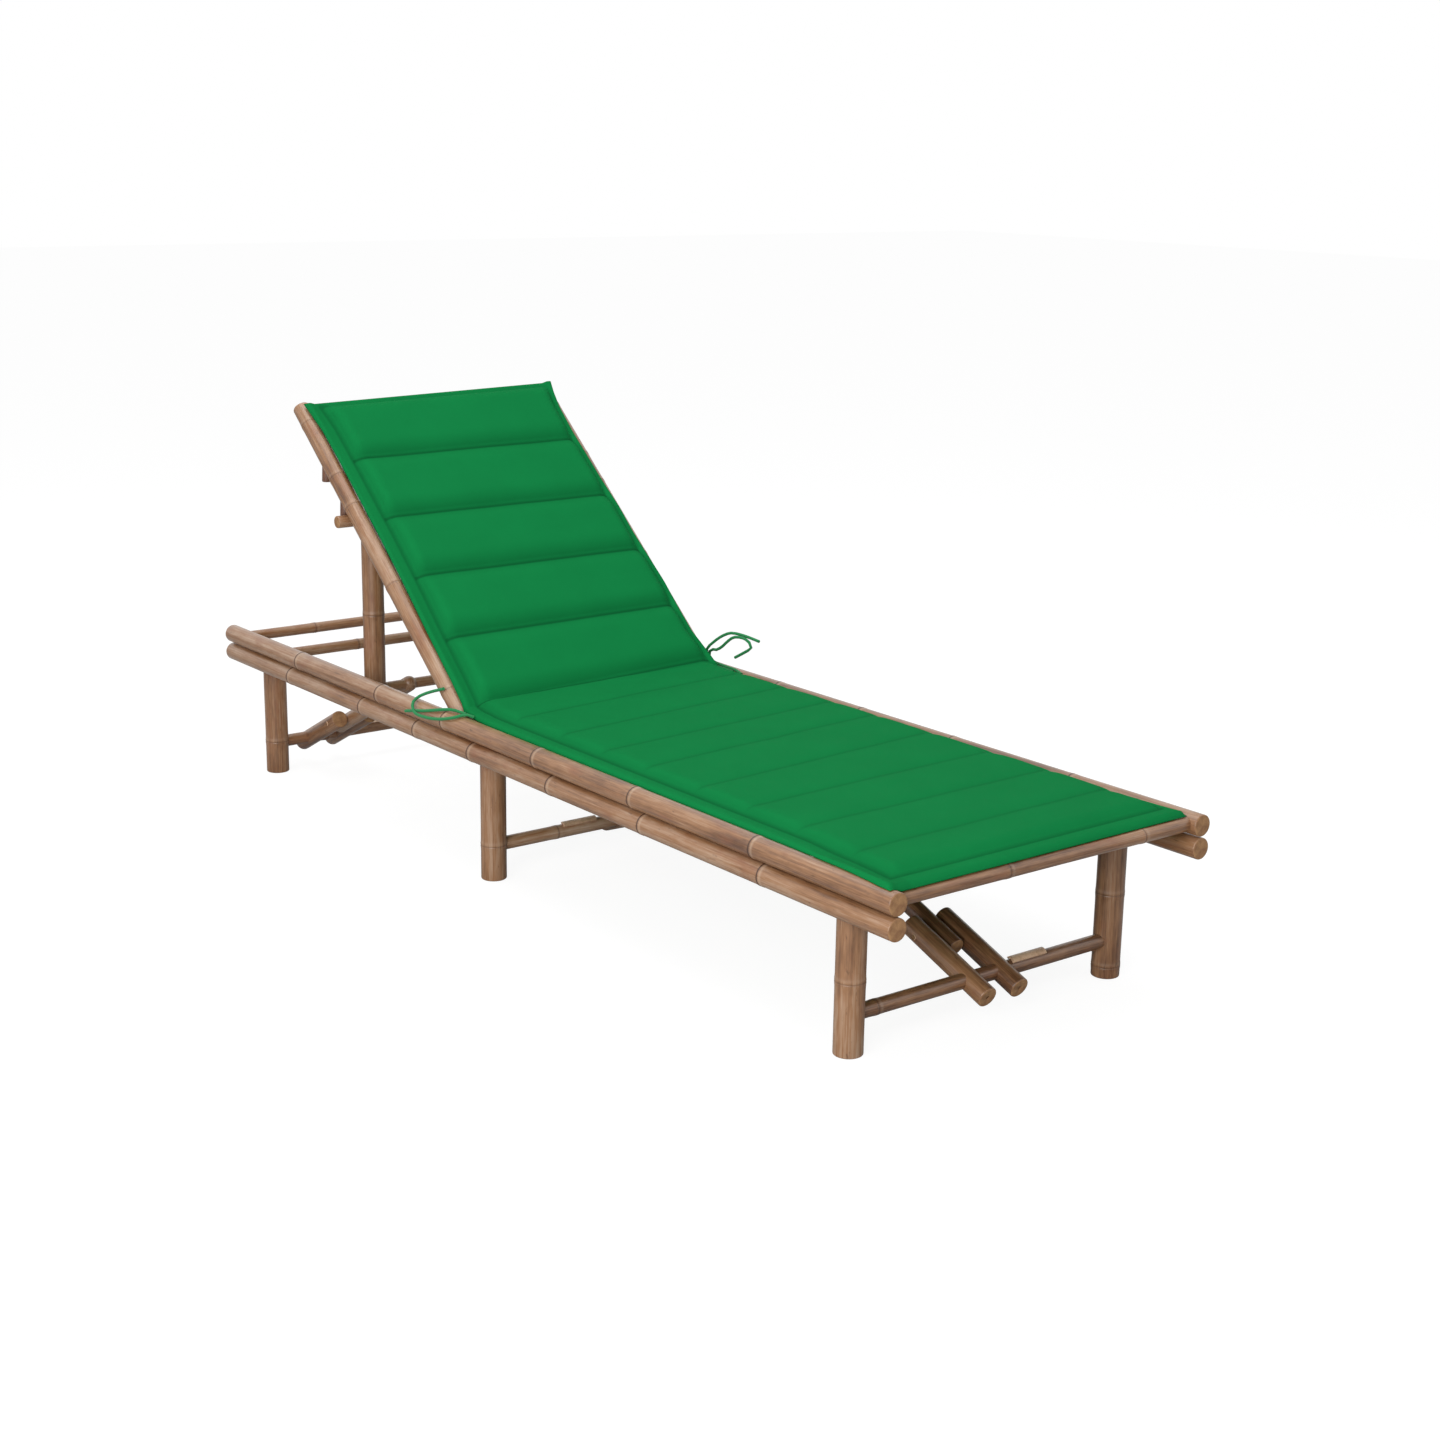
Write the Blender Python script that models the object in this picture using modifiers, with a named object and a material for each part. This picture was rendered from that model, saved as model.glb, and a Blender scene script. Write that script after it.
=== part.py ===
"""Bamboo sun lounger with a propped backrest, three folding leg frames and a quilted cushion.

Metres, +Z up, +Y toward the head end. The origin is on the floor under the middle of the rails.
"""
import math

import bmesh
import bpy
from mathutils import Matrix, Vector

# Clearances, and the number of sides that round pieces get
SEAT_GAP = 0.0003
RUN_GAP = 0.0005
HOLE_CUTTER_OVERSIZE = 1.3
HOLE_SIDES = 12
POLE_SIDES = 12
RAIL_SIDES = 12
DOME_STEPS = 3
ROD_SIDES = 12

# Side rails: two stacked poles on each side
LENGTH = 2.000
WIDTH = 0.650
RAIL_DIAMETER = 0.036
RAIL_TOP = 0.2905
NODE_SWELL = 0.0006
NODE_LENGTH = 0.010
CUT_EDGE = 0.0025
UPPER_NODES = (0.315, 0.625, 0.910, 1.200, 1.420, 1.690)
LOWER_NODES = (0.265, 0.590, 0.870, 1.130, 1.310, 1.480, 1.780)

# Cross poles that join the rails
MORTISE_DEPTH = 0.010
SLAT_DIAMETER = 0.022
FOOT_POLE_DIAMETER = 0.024
FOOT_POLE_INSET = 0.020
SLAT_TO_HINGE = 0.065
SLAT_COUNT = 8
HEAD_RUNG_INSETS = (0.225, 0.045)
HEAD_RUNG_NODES = (0.150, 0.430)
STAY_POLE_DIAMETER = 0.020

# Leg frames
LEG_DIAMETER = 0.045
LEG_NODES = (0.045, 0.115)
RIGHT_LEG_NODE_SHIFT = 0.012
FOOT_LEG_INSET = 0.138
MID_LEG_TO_HINGE = 0.088
HEAD_LEG_INSET = 0.0975
LEG_PIN_DIAMETER = 0.010
CROSSBAR_DIAMETER = 0.024
CROSSBAR_HEIGHT = 0.060
CROSSBAR_DEPTH = 0.014

# Folding stays: a brace turning on a cross pole, and two fork poles turning on a leg crossbar
FORK_DIAMETER = 0.034
BRACE_DIAMETER = 0.030
FORK_PLAY = 0.0008
KNUCKLE_REACH = 0.110
FORK_REACH = 0.143
FORK_TAIL = 0.045
BRACE_END_TO_BAR = 0.066
KNUCKLE_PIN_DIAMETER = 0.009
KNUCKLE_PIN_PROUD = 0.0015
PITH_DIAMETER = 0.006
PITH_DEPTH = 0.012
FOOT_STAY_X = 0.000
MID_STAY_X = 0.033
HEAD_STAY_X = -0.155

# Split bamboo strips laid on the crossbars
CLIP_LENGTH = 0.075
CLIP_WIDTH = 0.022
CLIP_WALL = 0.0035
CLIP_LIFT = 0.0006
CLIP_STEPS = 6
FOOT_CLIP_X = 0.089
MID_CLIP_X = -0.087
HEAD_CLIP_X = -0.052

# Backrest
HINGE_INSET = 0.830
HINGE_ROD_DIAMETER = 0.020
BACK_ANGLE = math.radians(40)
BACK_POLE_DIAMETER = 0.0328
BACK_POLE_LENGTH = 0.745
BACK_POLE_SIDE_GAP = 0.0012
BACK_NODES = (0.055, 0.310, 0.480, 0.690)
BACK_RUNG_DIAMETER = 0.020
BACK_RUNG_REACHES = (0.100, 0.240, 0.380, 0.580)
TOP_RUNG_INSET = 0.035
BACK_RUNG_DEPTH = 0.0098
PEG_ROOT_DIAMETER = 0.015
PEG_DIAMETER = 0.018
PEG_LENGTH = 0.050
PEG_ROOT = 0.006
SPARE_PEG_SPACING = 0.067

# Prop frame under the backrest
PROP_TO_HINGE = 0.390
PROP_AXLE_DIAMETER = 0.020
STRUT_DIAMETER = 0.042
STRUT_TO_BACK_POLE = 0.006
STRUT_NODE = 0.165
STRUT_TAIL = 0.033
STRUT_TOP_PAST_BAR = 0.022
PROP_BAR_DIAMETER = 0.023
PROP_BAR_PAST_POLE = 0.0286

# Cushion
CUSHION_PAST_RAIL_SIDE = 0.001
CUSHION_BORDER = 0.040
CUSHION_RAMP = 0.018
CUSHION_THICKNESS = 0.030
CHANNEL_THICKNESS = 0.014
BORDER_THICKNESS = 0.009
CUSHION_LIFT = 0.0004
SEAT_START_INSET = 0.002
SEAT_END_TO_HINGE = 0.040
SEAT_PANELS = 9
BACK_START = 0.045
BACK_END_INSET = 0.007
BACK_PANELS = 5
PANEL_STEPS = 4

# Ties at the fold
TIE_DIAMETER = 0.0042
TIE_STEP = 0.011
# Each tie starts beside the seat cushion's corner and lies over a rail or stands in a loose loop.
TIE_ROUTES = {
    "tie_left_straight": ((-0.2925, 0.126, 0.2900), (-0.305, 0.150, 0.2945), (-0.317, 0.172, 0.2915),
                          (-0.3255, 0.209, 0.283), (-0.3285, 0.245, 0.276), (-0.3287, 0.270, 0.270)),
    "tie_left_loop": ((-0.2925, 0.100, 0.2900), (-0.304, 0.108, 0.2945), (-0.321, 0.121, 0.289),
                      (-0.3285, 0.156, 0.280), (-0.3325, 0.195, 0.2755), (-0.3345, 0.229, 0.277),
                      (-0.3275, 0.246, 0.290), (-0.308, 0.256, 0.297), (-0.2965, 0.240, 0.306),
                      (-0.2927, 0.199, 0.320)),
    "tie_right_arc": ((0.2925, 0.126, 0.2868), (0.2925, 0.150, 0.2868), (0.2927, 0.175, 0.2872),
                      (0.2935, 0.198, 0.2925), (0.2955, 0.211, 0.3020), (0.298, 0.2135, 0.3145),
                      (0.301, 0.196, 0.3305), (0.3035, 0.1755, 0.3445), (0.306, 0.154, 0.3540),
                      (0.308, 0.1325, 0.3560), (0.310, 0.105, 0.3550), (0.312, 0.074, 0.352)),
    "tie_right_loop": ((0.2925, 0.100, 0.2868), (0.2945, 0.112, 0.2886), (0.2962, 0.126, 0.2903),
                       (0.2965, 0.150, 0.2905), (0.2970, 0.172, 0.2910), (0.2982, 0.192, 0.2922),
                       (0.2995, 0.2045, 0.2955), (0.3005, 0.2115, 0.3045), (0.301, 0.2035, 0.3135),
                       (0.301, 0.188, 0.3160), (0.301, 0.171, 0.3255), (0.301, 0.1536, 0.3394),
                       (0.301, 0.1355, 0.3500), (0.301, 0.1114, 0.3535), (0.301, 0.092, 0.3500),
                       (0.301, 0.0835, 0.3396), (0.301, 0.104, 0.3265), (0.301, 0.131, 0.3120)),
}

# Values worked out from the sizes above
RAIL_R = RAIL_DIAMETER / 2
RAIL_X = WIDTH / 2 - RAIL_R
UPPER_Z = RAIL_TOP - RAIL_R
LOWER_Z = UPPER_Z - RAIL_DIAMETER - SEAT_GAP
RAIL_INSIDE = RAIL_X - RAIL_R
HINGE_Y = LENGTH / 2 - HINGE_INSET
PROP_Y = HINGE_Y + PROP_TO_HINGE
FOOT_POLE_Y = FOOT_POLE_INSET - LENGTH / 2
LAST_SLAT_Y = HINGE_Y - SLAT_TO_HINGE
HEAD_RUNG_YS = [LENGTH / 2 - inset for inset in HEAD_RUNG_INSETS]
FOOT_LEG_Y = FOOT_LEG_INSET - LENGTH / 2
MID_LEG_Y = HINGE_Y - MID_LEG_TO_HINGE
HEAD_LEG_Y = LENGTH / 2 - HEAD_LEG_INSET
STAY_POLE_Y = (FOOT_LEG_Y + MID_LEG_Y) / 2
LEG_R = LEG_DIAMETER / 2
LEG_X = RAIL_INSIDE - LEG_R - SEAT_GAP
BACK_POLE_R = BACK_POLE_DIAMETER / 2
BACK_POLE_X = RAIL_INSIDE - BACK_POLE_R - BACK_POLE_SIDE_GAP
FORK_OFFSET = (FORK_DIAMETER + BRACE_DIAMETER) / 2 + FORK_PLAY
STRUT_X = BACK_POLE_X - BACK_POLE_R - STRUT_TO_BACK_POLE - STRUT_DIAMETER / 2
PROP_BAR_LENGTH = 2 * (BACK_POLE_X + PROP_BAR_PAST_POLE)
PROP_BAR_R = PROP_BAR_DIAMETER / 2
BAR_FROM_POLE = BACK_POLE_R + NODE_SWELL + PROP_BAR_R + SEAT_GAP
PROP_BAR_Z = UPPER_Z + ((PROP_Y - HINGE_Y) * math.sin(BACK_ANGLE) - BAR_FROM_POLE) / math.cos(BACK_ANGLE)
LEG_YS = (FOOT_LEG_Y, MID_LEG_Y, HEAD_LEG_Y)
PEG_Y = PROP_Y + PROP_BAR_R + PEG_DIAMETER / 2 + SEAT_GAP
PEG_REACHES = [(y - HINGE_Y) / math.cos(BACK_ANGLE) for y in (PEG_Y, PEG_Y + SPARE_PEG_SPACING)]
CUSHION_WIDTH = 2 * (RAIL_INSIDE + CUSHION_PAST_RAIL_SIDE)
SEAT_START_Y = SEAT_START_INSET - LENGTH / 2
SEAT_END_Y = HINGE_Y - SEAT_END_TO_HINGE
BACK_END = BACK_POLE_LENGTH - BACK_END_INSET


def clear_scene():
    for item in list(bpy.data.objects):
        bpy.data.objects.remove(item, do_unlink=True)


def new_collection(name):
    made = bpy.data.collections.new(name)
    bpy.context.scene.collection.children.link(made)
    return made


def new_material(name, colour, roughness):
    made = bpy.data.materials.new(name)
    made.use_nodes = True
    shader = made.node_tree.nodes["Principled BSDF"]
    shader.inputs["Base Color"].default_value = (*colour, 1)
    shader.inputs["Roughness"].default_value = roughness
    shader.inputs["Metallic"].default_value = 0
    made.diffuse_color = (*colour, 1)
    return made


def add_object(name, data, material, parent=None):
    made = bpy.data.objects.new(name, data)
    made.parent = parent
    if material:
        data.materials.append(material)
    parts.objects.link(made)
    return made


def add_pivot(name, location, turn=0, parent=None):
    """An empty on a joint's axis; every joint of this object turns about X."""
    made = bpy.data.objects.new(name, None)
    made.parent = parent
    made.location = location
    made.rotation_euler = (turn, 0, 0)
    parts.objects.link(made)
    return made


def turned(name, profile, sides, material, parent=None):
    """A solid turned about local Z from (radius, height) points listed from its top to its bottom."""
    mesh = bpy.data.meshes.new(name)
    points = [(radius, 0, height) for radius, height in profile]
    mesh.from_pydata(points, [(i, i + 1) for i in range(len(points) - 1)], [])
    made = add_object(name, mesh, material, parent)
    screw = made.modifiers.new("Turn", "SCREW")
    screw.axis = "Z"
    screw.steps = sides
    screw.render_steps = sides
    screw.use_merge_vertices = True
    screw.merge_threshold = 0.00005
    screw.use_smooth_shade = True
    return made


def body_profile(radius, bottom, top, nodes, swell):
    """The outer side of a bamboo pole from top to bottom, swelling at each node."""
    points = [(radius, top)]
    for node in sorted(nodes, reverse=True):
        points += [(radius, node + NODE_LENGTH / 2), (radius + swell, node), (radius, node - NODE_LENGTH / 2)]
    points.append((radius, bottom))
    return points


def pole(name, length, diameter, nodes=(), sides=ROD_SIDES, swell=NODE_SWELL, material=None, parent=None):
    """A straight pole along local Z whose widest radius, at its nodes, is half the diameter."""
    radius = diameter / 2 - (swell if nodes else 0)
    inner = radius - CUT_EDGE
    profile = [(0, length), (inner, length)]
    profile += body_profile(radius, CUT_EDGE, length - CUT_EDGE, nodes, swell)
    profile += [(inner, 0), (0, 0)]
    return turned(name, profile, sides, material or bamboo, parent)


def domed_pole(name, bottom, top, diameter, nodes=(), sides=POLE_SIDES, parent=None, low_dome=False):
    """A pole along local Z with a round top, and a round bottom if asked; bottom and top are its ends."""
    radius = diameter / 2
    steps = DOME_STEPS
    quarter = [math.pi / 2 * (steps - i) / steps for i in range(steps + 1)]
    profile = [(radius * math.cos(a), top - radius + radius * math.sin(a)) for a in quarter]
    profile[0] = (0, top)
    for node in sorted(nodes, reverse=True):
        profile += [(radius, node + NODE_LENGTH / 2), (radius + NODE_SWELL, node), (radius, node - NODE_LENGTH / 2)]
    if low_dome:
        profile += [(radius * math.cos(a), bottom + radius - radius * math.sin(a)) for a in reversed(quarter)]
        profile[-1] = (0, bottom)
    else:
        profile += [(radius, bottom + CUT_EDGE), (radius - CUT_EDGE, bottom), (0, bottom)]
    return turned(name, profile, sides, bamboo, parent)


def along_x(made, location):
    made.location = location
    made.rotation_euler = (0, math.pi / 2, 0)
    return made


def along_y(made, location):
    made.location = location
    made.rotation_euler = (-math.pi / 2, 0, 0)
    return made


def fit_radius(shaft_radius, gap):
    """Radius of a many-sided hole whose flats clear a shaft by the gap."""
    return (shaft_radius + gap) / math.cos(math.pi / HOLE_SIDES)


def combine(target, name, rods, operation, parent=None):
    """Cut or add round rods, each (middle, direction, radius, length) in the parent's frame."""
    mesh = bpy.data.meshes.new(name)
    shape = bmesh.new()
    for middle, direction, radius, length in rods:
        turn = Vector((0, 0, 1)).rotation_difference(Vector(direction)).to_matrix().to_4x4()
        bmesh.ops.create_cone(shape, cap_ends=True, segments=HOLE_SIDES, radius1=radius,
                              radius2=radius, depth=length, matrix=Matrix.Translation(middle) @ turn)
    shape.to_mesh(mesh)
    shape.free()
    guide = bpy.data.objects.new(name, mesh)
    guide.parent = parent
    guide.hide_render = True
    guide.display_type = "WIRE"
    cutters.objects.link(guide)
    change = target.modifiers.new(operation.title(), "BOOLEAN")
    change.operation = operation
    change.solver = "EXACT"
    change.object = guide


def drill(target, name, holes, parent=None):
    combine(target, name, holes, "DIFFERENCE", parent)


def add_pins(target, name, pins, parent=None):
    combine(target, name, pins, "UNION", parent)


X = (1, 0, 0)
SIDES = (("left", -1), ("right", 1))


def mortise(side, y, z, diameter):
    """A blind hole in a rail's inner side for a cross pole's end."""
    depth = MORTISE_DEPTH + SEAT_GAP
    return ((side * (RAIL_INSIDE + depth - RAIL_R), y, z), X, fit_radius(diameter / 2, SEAT_GAP), 2 * RAIL_R)


def cross_pole(name, y, z, diameter, nodes=(), material=None):
    """A pole across the lounger with its ends in blind holes of both rails."""
    reach = RAIL_INSIDE + MORTISE_DEPTH
    made = pole(name, 2 * reach, diameter, nodes, material=material)
    return along_x(made, (-reach, y, z))


def build_frame():
    slat_pitch = (LAST_SLAT_Y - FOOT_POLE_Y) / SLAT_COUNT
    slat_ys = [FOOT_POLE_Y + slat_pitch * (i + 1) for i in range(SLAT_COUNT)]
    cross_pole("foot_cross_pole", FOOT_POLE_Y, UPPER_Z, FOOT_POLE_DIAMETER)
    for i, y in enumerate(slat_ys):
        cross_pole(f"seat_slat_{i + 1}", y, UPPER_Z, SLAT_DIAMETER)
    for name, y in zip(("head_rung_inner", "head_rung_outer"), HEAD_RUNG_YS):
        cross_pole(name, y, UPPER_Z, SLAT_DIAMETER, nodes=HEAD_RUNG_NODES)
    cross_pole("hinge_rod", HINGE_Y, UPPER_Z, HINGE_ROD_DIAMETER)
    cross_pole("stay_cross_pole", STAY_POLE_Y, LOWER_Z, STAY_POLE_DIAMETER)
    cross_pole("prop_axle", PROP_Y, LOWER_Z, PROP_AXLE_DIAMETER)
    for label, side in SIDES:
        upper = pole(f"upper_rail_{label}", LENGTH, RAIL_DIAMETER, UPPER_NODES, RAIL_SIDES)
        along_y(upper, (side * RAIL_X, -LENGTH / 2, UPPER_Z))
        holes = [mortise(side, FOOT_POLE_Y, UPPER_Z, FOOT_POLE_DIAMETER)]
        holes += [mortise(side, y, UPPER_Z, SLAT_DIAMETER) for y in (*slat_ys, *HEAD_RUNG_YS)]
        holes.append(mortise(side, HINGE_Y, UPPER_Z, HINGE_ROD_DIAMETER))
        drill(upper, f"upper_rail_{label}_holes", holes)
        lower = pole(f"lower_rail_{label}", LENGTH, RAIL_DIAMETER, LOWER_NODES, RAIL_SIDES)
        along_y(lower, (side * RAIL_X, -LENGTH / 2, LOWER_Z))
        holes = [mortise(side, STAY_POLE_Y, LOWER_Z, STAY_POLE_DIAMETER)]
        holes.append(mortise(side, PROP_Y, LOWER_Z, PROP_AXLE_DIAMETER))
        drill(lower, f"lower_rail_{label}_holes", holes)
        # The legs turn on pins that stay fixed in the lower rails.
        pin_length = RAIL_X - (LEG_X - LEG_R)
        pin_x = side * (RAIL_X - pin_length / 2)
        pins = [((pin_x, y, LOWER_Z), X, LEG_PIN_DIAMETER / 2, pin_length) for y in LEG_YS]
        add_pins(lower, f"lower_rail_{label}_leg_pins", pins)


def build_leg_frame(label, y):
    """Two legs and a crossbar, turning on the leg pins; lengths in the pivot's frame."""
    pivot = add_pivot(f"{label}_leg_pivot", (0, y, LOWER_Z))
    bar_z = CROSSBAR_HEIGHT - LOWER_Z
    inner = LEG_X - LEG_R
    for side_label, side in SIDES:
        nodes = [node + (RIGHT_LEG_NODE_SHIFT if side > 0 else 0) for node in LEG_NODES]
        leg = domed_pole(f"{label}_leg_{side_label}", 0, LOWER_Z + LEG_R, LEG_DIAMETER, nodes, parent=pivot)
        leg.location = (side * LEG_X, 0, -LOWER_Z)
        pin_hole = ((side * LEG_X, 0, 0), X, fit_radius(LEG_PIN_DIAMETER / 2, RUN_GAP), LEG_DIAMETER * HOLE_CUTTER_OVERSIZE)
        bar_hole_middle = side * (inner + CROSSBAR_DEPTH + SEAT_GAP - LEG_R)
        bar_hole = ((bar_hole_middle, 0, bar_z), X, fit_radius(CROSSBAR_DIAMETER / 2, SEAT_GAP), LEG_DIAMETER)
        drill(leg, f"{label}_leg_{side_label}_holes", [pin_hole, bar_hole], parent=pivot)
    reach = inner + CROSSBAR_DEPTH
    bar = pole(f"{label}_crossbar", 2 * reach, CROSSBAR_DIAMETER, parent=pivot)
    along_x(bar, (-reach, 0, bar_z))
    return pivot


def build_clip(label, pivot, x):
    """A split strip of bamboo lying on the crossbar: a shallow arch in section, tilted along its length."""
    mesh = bpy.data.meshes.new(f"{label}_clip")
    shape = bmesh.new()
    bar_r = CROSSBAR_DIAMETER / 2
    radius = bar_r + CLIP_LIFT + CLIP_WALL / 2
    half = math.asin(min(0.95, CLIP_WIDTH / 2 / (radius + CLIP_WALL / 2)))
    arc = [half * (2 * i / CLIP_STEPS - 1) for i in range(CLIP_STEPS + 1)]
    ring = [(radius + CLIP_WALL / 2) * Vector((0, math.sin(a), math.cos(a))) for a in arc]
    ring += [(radius - CLIP_WALL / 2) * Vector((0, math.sin(a), math.cos(a))) for a in reversed(arc)]
    face = shape.faces.new([shape.verts.new(point) for point in ring])
    grown = bmesh.ops.extrude_face_region(shape, geom=[face], use_keep_orig=True)
    ends = [item for item in grown["geom"] if isinstance(item, bmesh.types.BMVert)]
    bmesh.ops.translate(shape, vec=(CLIP_LENGTH, 0, 0), verts=ends)
    bmesh.ops.recalc_face_normals(shape, faces=shape.faces)
    shape.to_mesh(mesh)
    shape.free()
    clip = add_object(f"{label}_clip", mesh, pale_bamboo, pivot)
    clip.location = (x - CLIP_LENGTH / 2, 0, CROSSBAR_HEIGHT - LOWER_Z)
    return clip


def build_stay(label, leg_pivot, leg_y, stay_x, anchor_y):
    """A folding stay from a leg crossbar up to a cross pole at anchor_y."""
    run = anchor_y - leg_y
    rise = LOWER_Z - CROSSBAR_HEIGHT
    span = math.hypot(run, rise)
    # Both links lie along the line from the crossbar to the cross pole; local Z is turned to that line.
    lean = -math.atan2(run, rise)
    fork_pivot = add_pivot(f"{label}_fork_pivot", (0, 0, CROSSBAR_HEIGHT - LOWER_Z), lean, leg_pivot)
    bar_hole_r = fit_radius(CROSSBAR_DIAMETER / 2, RUN_GAP)
    for i, side in enumerate((-1, 1)):
        x = stay_x + side * FORK_OFFSET
        name = f"{label}_fork_pole_{'ab'[i]}"
        fork = domed_pole(name, -FORK_TAIL, FORK_REACH, FORK_DIAMETER, parent=fork_pivot)
        fork.location = (x, 0, 0)
        holes = [((x, 0, 0), X, bar_hole_r, FORK_DIAMETER * HOLE_CUTTER_OVERSIZE),
                 ((x, 0, -FORK_TAIL), (0, 0, 1), PITH_DIAMETER / 2, 2 * PITH_DEPTH)]
        drill(fork, f"{name}_holes", holes, parent=fork_pivot)
        # The knuckle pin shows as its outer ends and stops short of the brace between the fork poles.
        pin_length = FORK_DIAMETER / 2 + KNUCKLE_PIN_PROUD
        pin = ((x + side * pin_length / 2, 0, KNUCKLE_REACH), X, KNUCKLE_PIN_DIAMETER / 2, pin_length)
        add_pins(fork, f"{name}_pin", [pin], parent=fork_pivot)
    brace_pivot = add_pivot(f"{label}_brace_pivot", (0, anchor_y, LOWER_Z), lean)
    brace_r = BRACE_DIAMETER / 2
    brace = domed_pole(f"{label}_brace", -span + BRACE_END_TO_BAR, brace_r, BRACE_DIAMETER, parent=brace_pivot)
    brace.location = (stay_x, 0, 0)
    anchor_diameter = PROP_AXLE_DIAMETER if anchor_y == PROP_Y else STAY_POLE_DIAMETER
    holes = [((stay_x, 0, 0), X, fit_radius(anchor_diameter / 2, RUN_GAP), BRACE_DIAMETER * HOLE_CUTTER_OVERSIZE),
             ((stay_x, 0, -span + KNUCKLE_REACH), X, fit_radius(KNUCKLE_PIN_DIAMETER / 2, RUN_GAP),
              BRACE_DIAMETER * HOLE_CUTTER_OVERSIZE)]
    drill(brace, f"{label}_brace_holes", holes, parent=brace_pivot)


def build_backrest():
    """Poles, rungs and catch pegs, laid along local Y and tilted by their pivot on the hinge rod."""
    pivot = add_pivot("backrest_pivot", (0, HINGE_Y, UPPER_Z), BACK_ANGLE)
    rung_inside = BACK_POLE_X - BACK_POLE_R
    rung_end = rung_inside + BACK_RUNG_DEPTH
    rung_reaches = [*BACK_RUNG_REACHES, BACK_POLE_LENGTH - TOP_RUNG_INSET]
    peg_way = Vector((0, -math.sin(BACK_ANGLE), -math.cos(BACK_ANGLE)))
    for label, side in SIDES:
        name = f"back_pole_{label}"
        spine = domed_back_pole(name, pivot)
        along_y(spine, (side * BACK_POLE_X, 0, 0))
        holes = [((side * BACK_POLE_X, 0, 0), X, fit_radius(HINGE_ROD_DIAMETER / 2, RUN_GAP),
                  BACK_POLE_DIAMETER * HOLE_CUTTER_OVERSIZE)]
        for reach in rung_reaches:
            middle = side * (rung_end + SEAT_GAP - BACK_POLE_R)
            holes.append(((middle, reach, 0), X, fit_radius(BACK_RUNG_DIAMETER / 2, SEAT_GAP),
                          BACK_POLE_DIAMETER))
        for reach in PEG_REACHES:
            root = Vector((side * BACK_POLE_X, reach, 0)) + peg_way * (PEG_ROOT - SEAT_GAP)
            holes.append((root + peg_way * BACK_POLE_DIAMETER, peg_way,
                          fit_radius(PEG_ROOT_DIAMETER / 2, SEAT_GAP), 2 * BACK_POLE_DIAMETER))
        drill(spine, f"{name}_holes", holes, parent=pivot)
    for i, reach in enumerate(rung_reaches):
        rung = pole(f"back_rung_{i + 1}", 2 * rung_end, BACK_RUNG_DIAMETER, parent=pivot)
        along_x(rung, (-rung_end, reach, 0))
    build_pegs(pivot)
    return pivot


def domed_back_pole(name, pivot):
    """A backrest pole with a round lower end about the hinge and a cut top end."""
    radius = BACK_POLE_R
    steps = DOME_STEPS
    quarter = [math.pi / 2 * i / steps for i in range(steps + 1)]
    profile = [(0, BACK_POLE_LENGTH), (radius - CUT_EDGE, BACK_POLE_LENGTH)]
    profile += body_profile(radius, 0, BACK_POLE_LENGTH - CUT_EDGE, BACK_NODES, NODE_SWELL)[:-1]
    profile += [(radius * math.cos(a), -radius * math.sin(a)) for a in quarter]
    profile[-1] = (0, -radius)
    return turned(name, profile, POLE_SIDES, bamboo, pivot)


def build_pegs(pivot):
    """Catch pegs behind the backrest poles, upright at rest and a little thicker at their ends."""
    root_r = PEG_ROOT_DIAMETER / 2
    end_r = PEG_DIAMETER / 2
    below = BACK_POLE_R / math.cos(BACK_ANGLE) + root_r * math.tan(BACK_ANGLE)
    profile = [(0, -PEG_ROOT), (root_r, -PEG_ROOT), (root_r, -below), (end_r, CUT_EDGE - PEG_LENGTH),
               (end_r - CUT_EDGE, -PEG_LENGTH), (0, -PEG_LENGTH)]
    for label, side in SIDES:
        for place, reach in zip(("lower", "upper"), PEG_REACHES):
            peg = turned(f"catch_peg_{place}_{label}", profile, ROD_SIDES, pin_bamboo, pivot)
            peg.location = (side * BACK_POLE_X, reach, 0)
            peg.rotation_euler = (-BACK_ANGLE, 0, 0)


def build_prop():
    """Two struts on the prop axle, with a bar on top under the catch pegs."""
    pivot = add_pivot("prop_pivot", (0, PROP_Y, LOWER_Z))
    bar_z = PROP_BAR_Z - LOWER_Z
    length = STRUT_TAIL + bar_z + STRUT_TOP_PAST_BAR
    for label, side in SIDES:
        name = f"prop_strut_{label}"
        strut = pole(name, length, STRUT_DIAMETER, (STRUT_NODE,), POLE_SIDES, parent=pivot)
        strut.location = (side * STRUT_X, 0, -STRUT_TAIL)
        x = side * STRUT_X
        holes = [((x, 0, 0), X, fit_radius(PROP_AXLE_DIAMETER / 2, RUN_GAP), STRUT_DIAMETER * HOLE_CUTTER_OVERSIZE),
                 ((x, 0, bar_z), X, fit_radius(PROP_BAR_R, SEAT_GAP), STRUT_DIAMETER * HOLE_CUTTER_OVERSIZE)]
        drill(strut, f"{name}_holes", holes, parent=pivot)
    bar = pole("prop_bar", PROP_BAR_LENGTH, PROP_BAR_DIAMETER, parent=pivot)
    along_x(bar, (-PROP_BAR_LENGTH / 2, 0, bar_z))


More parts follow.
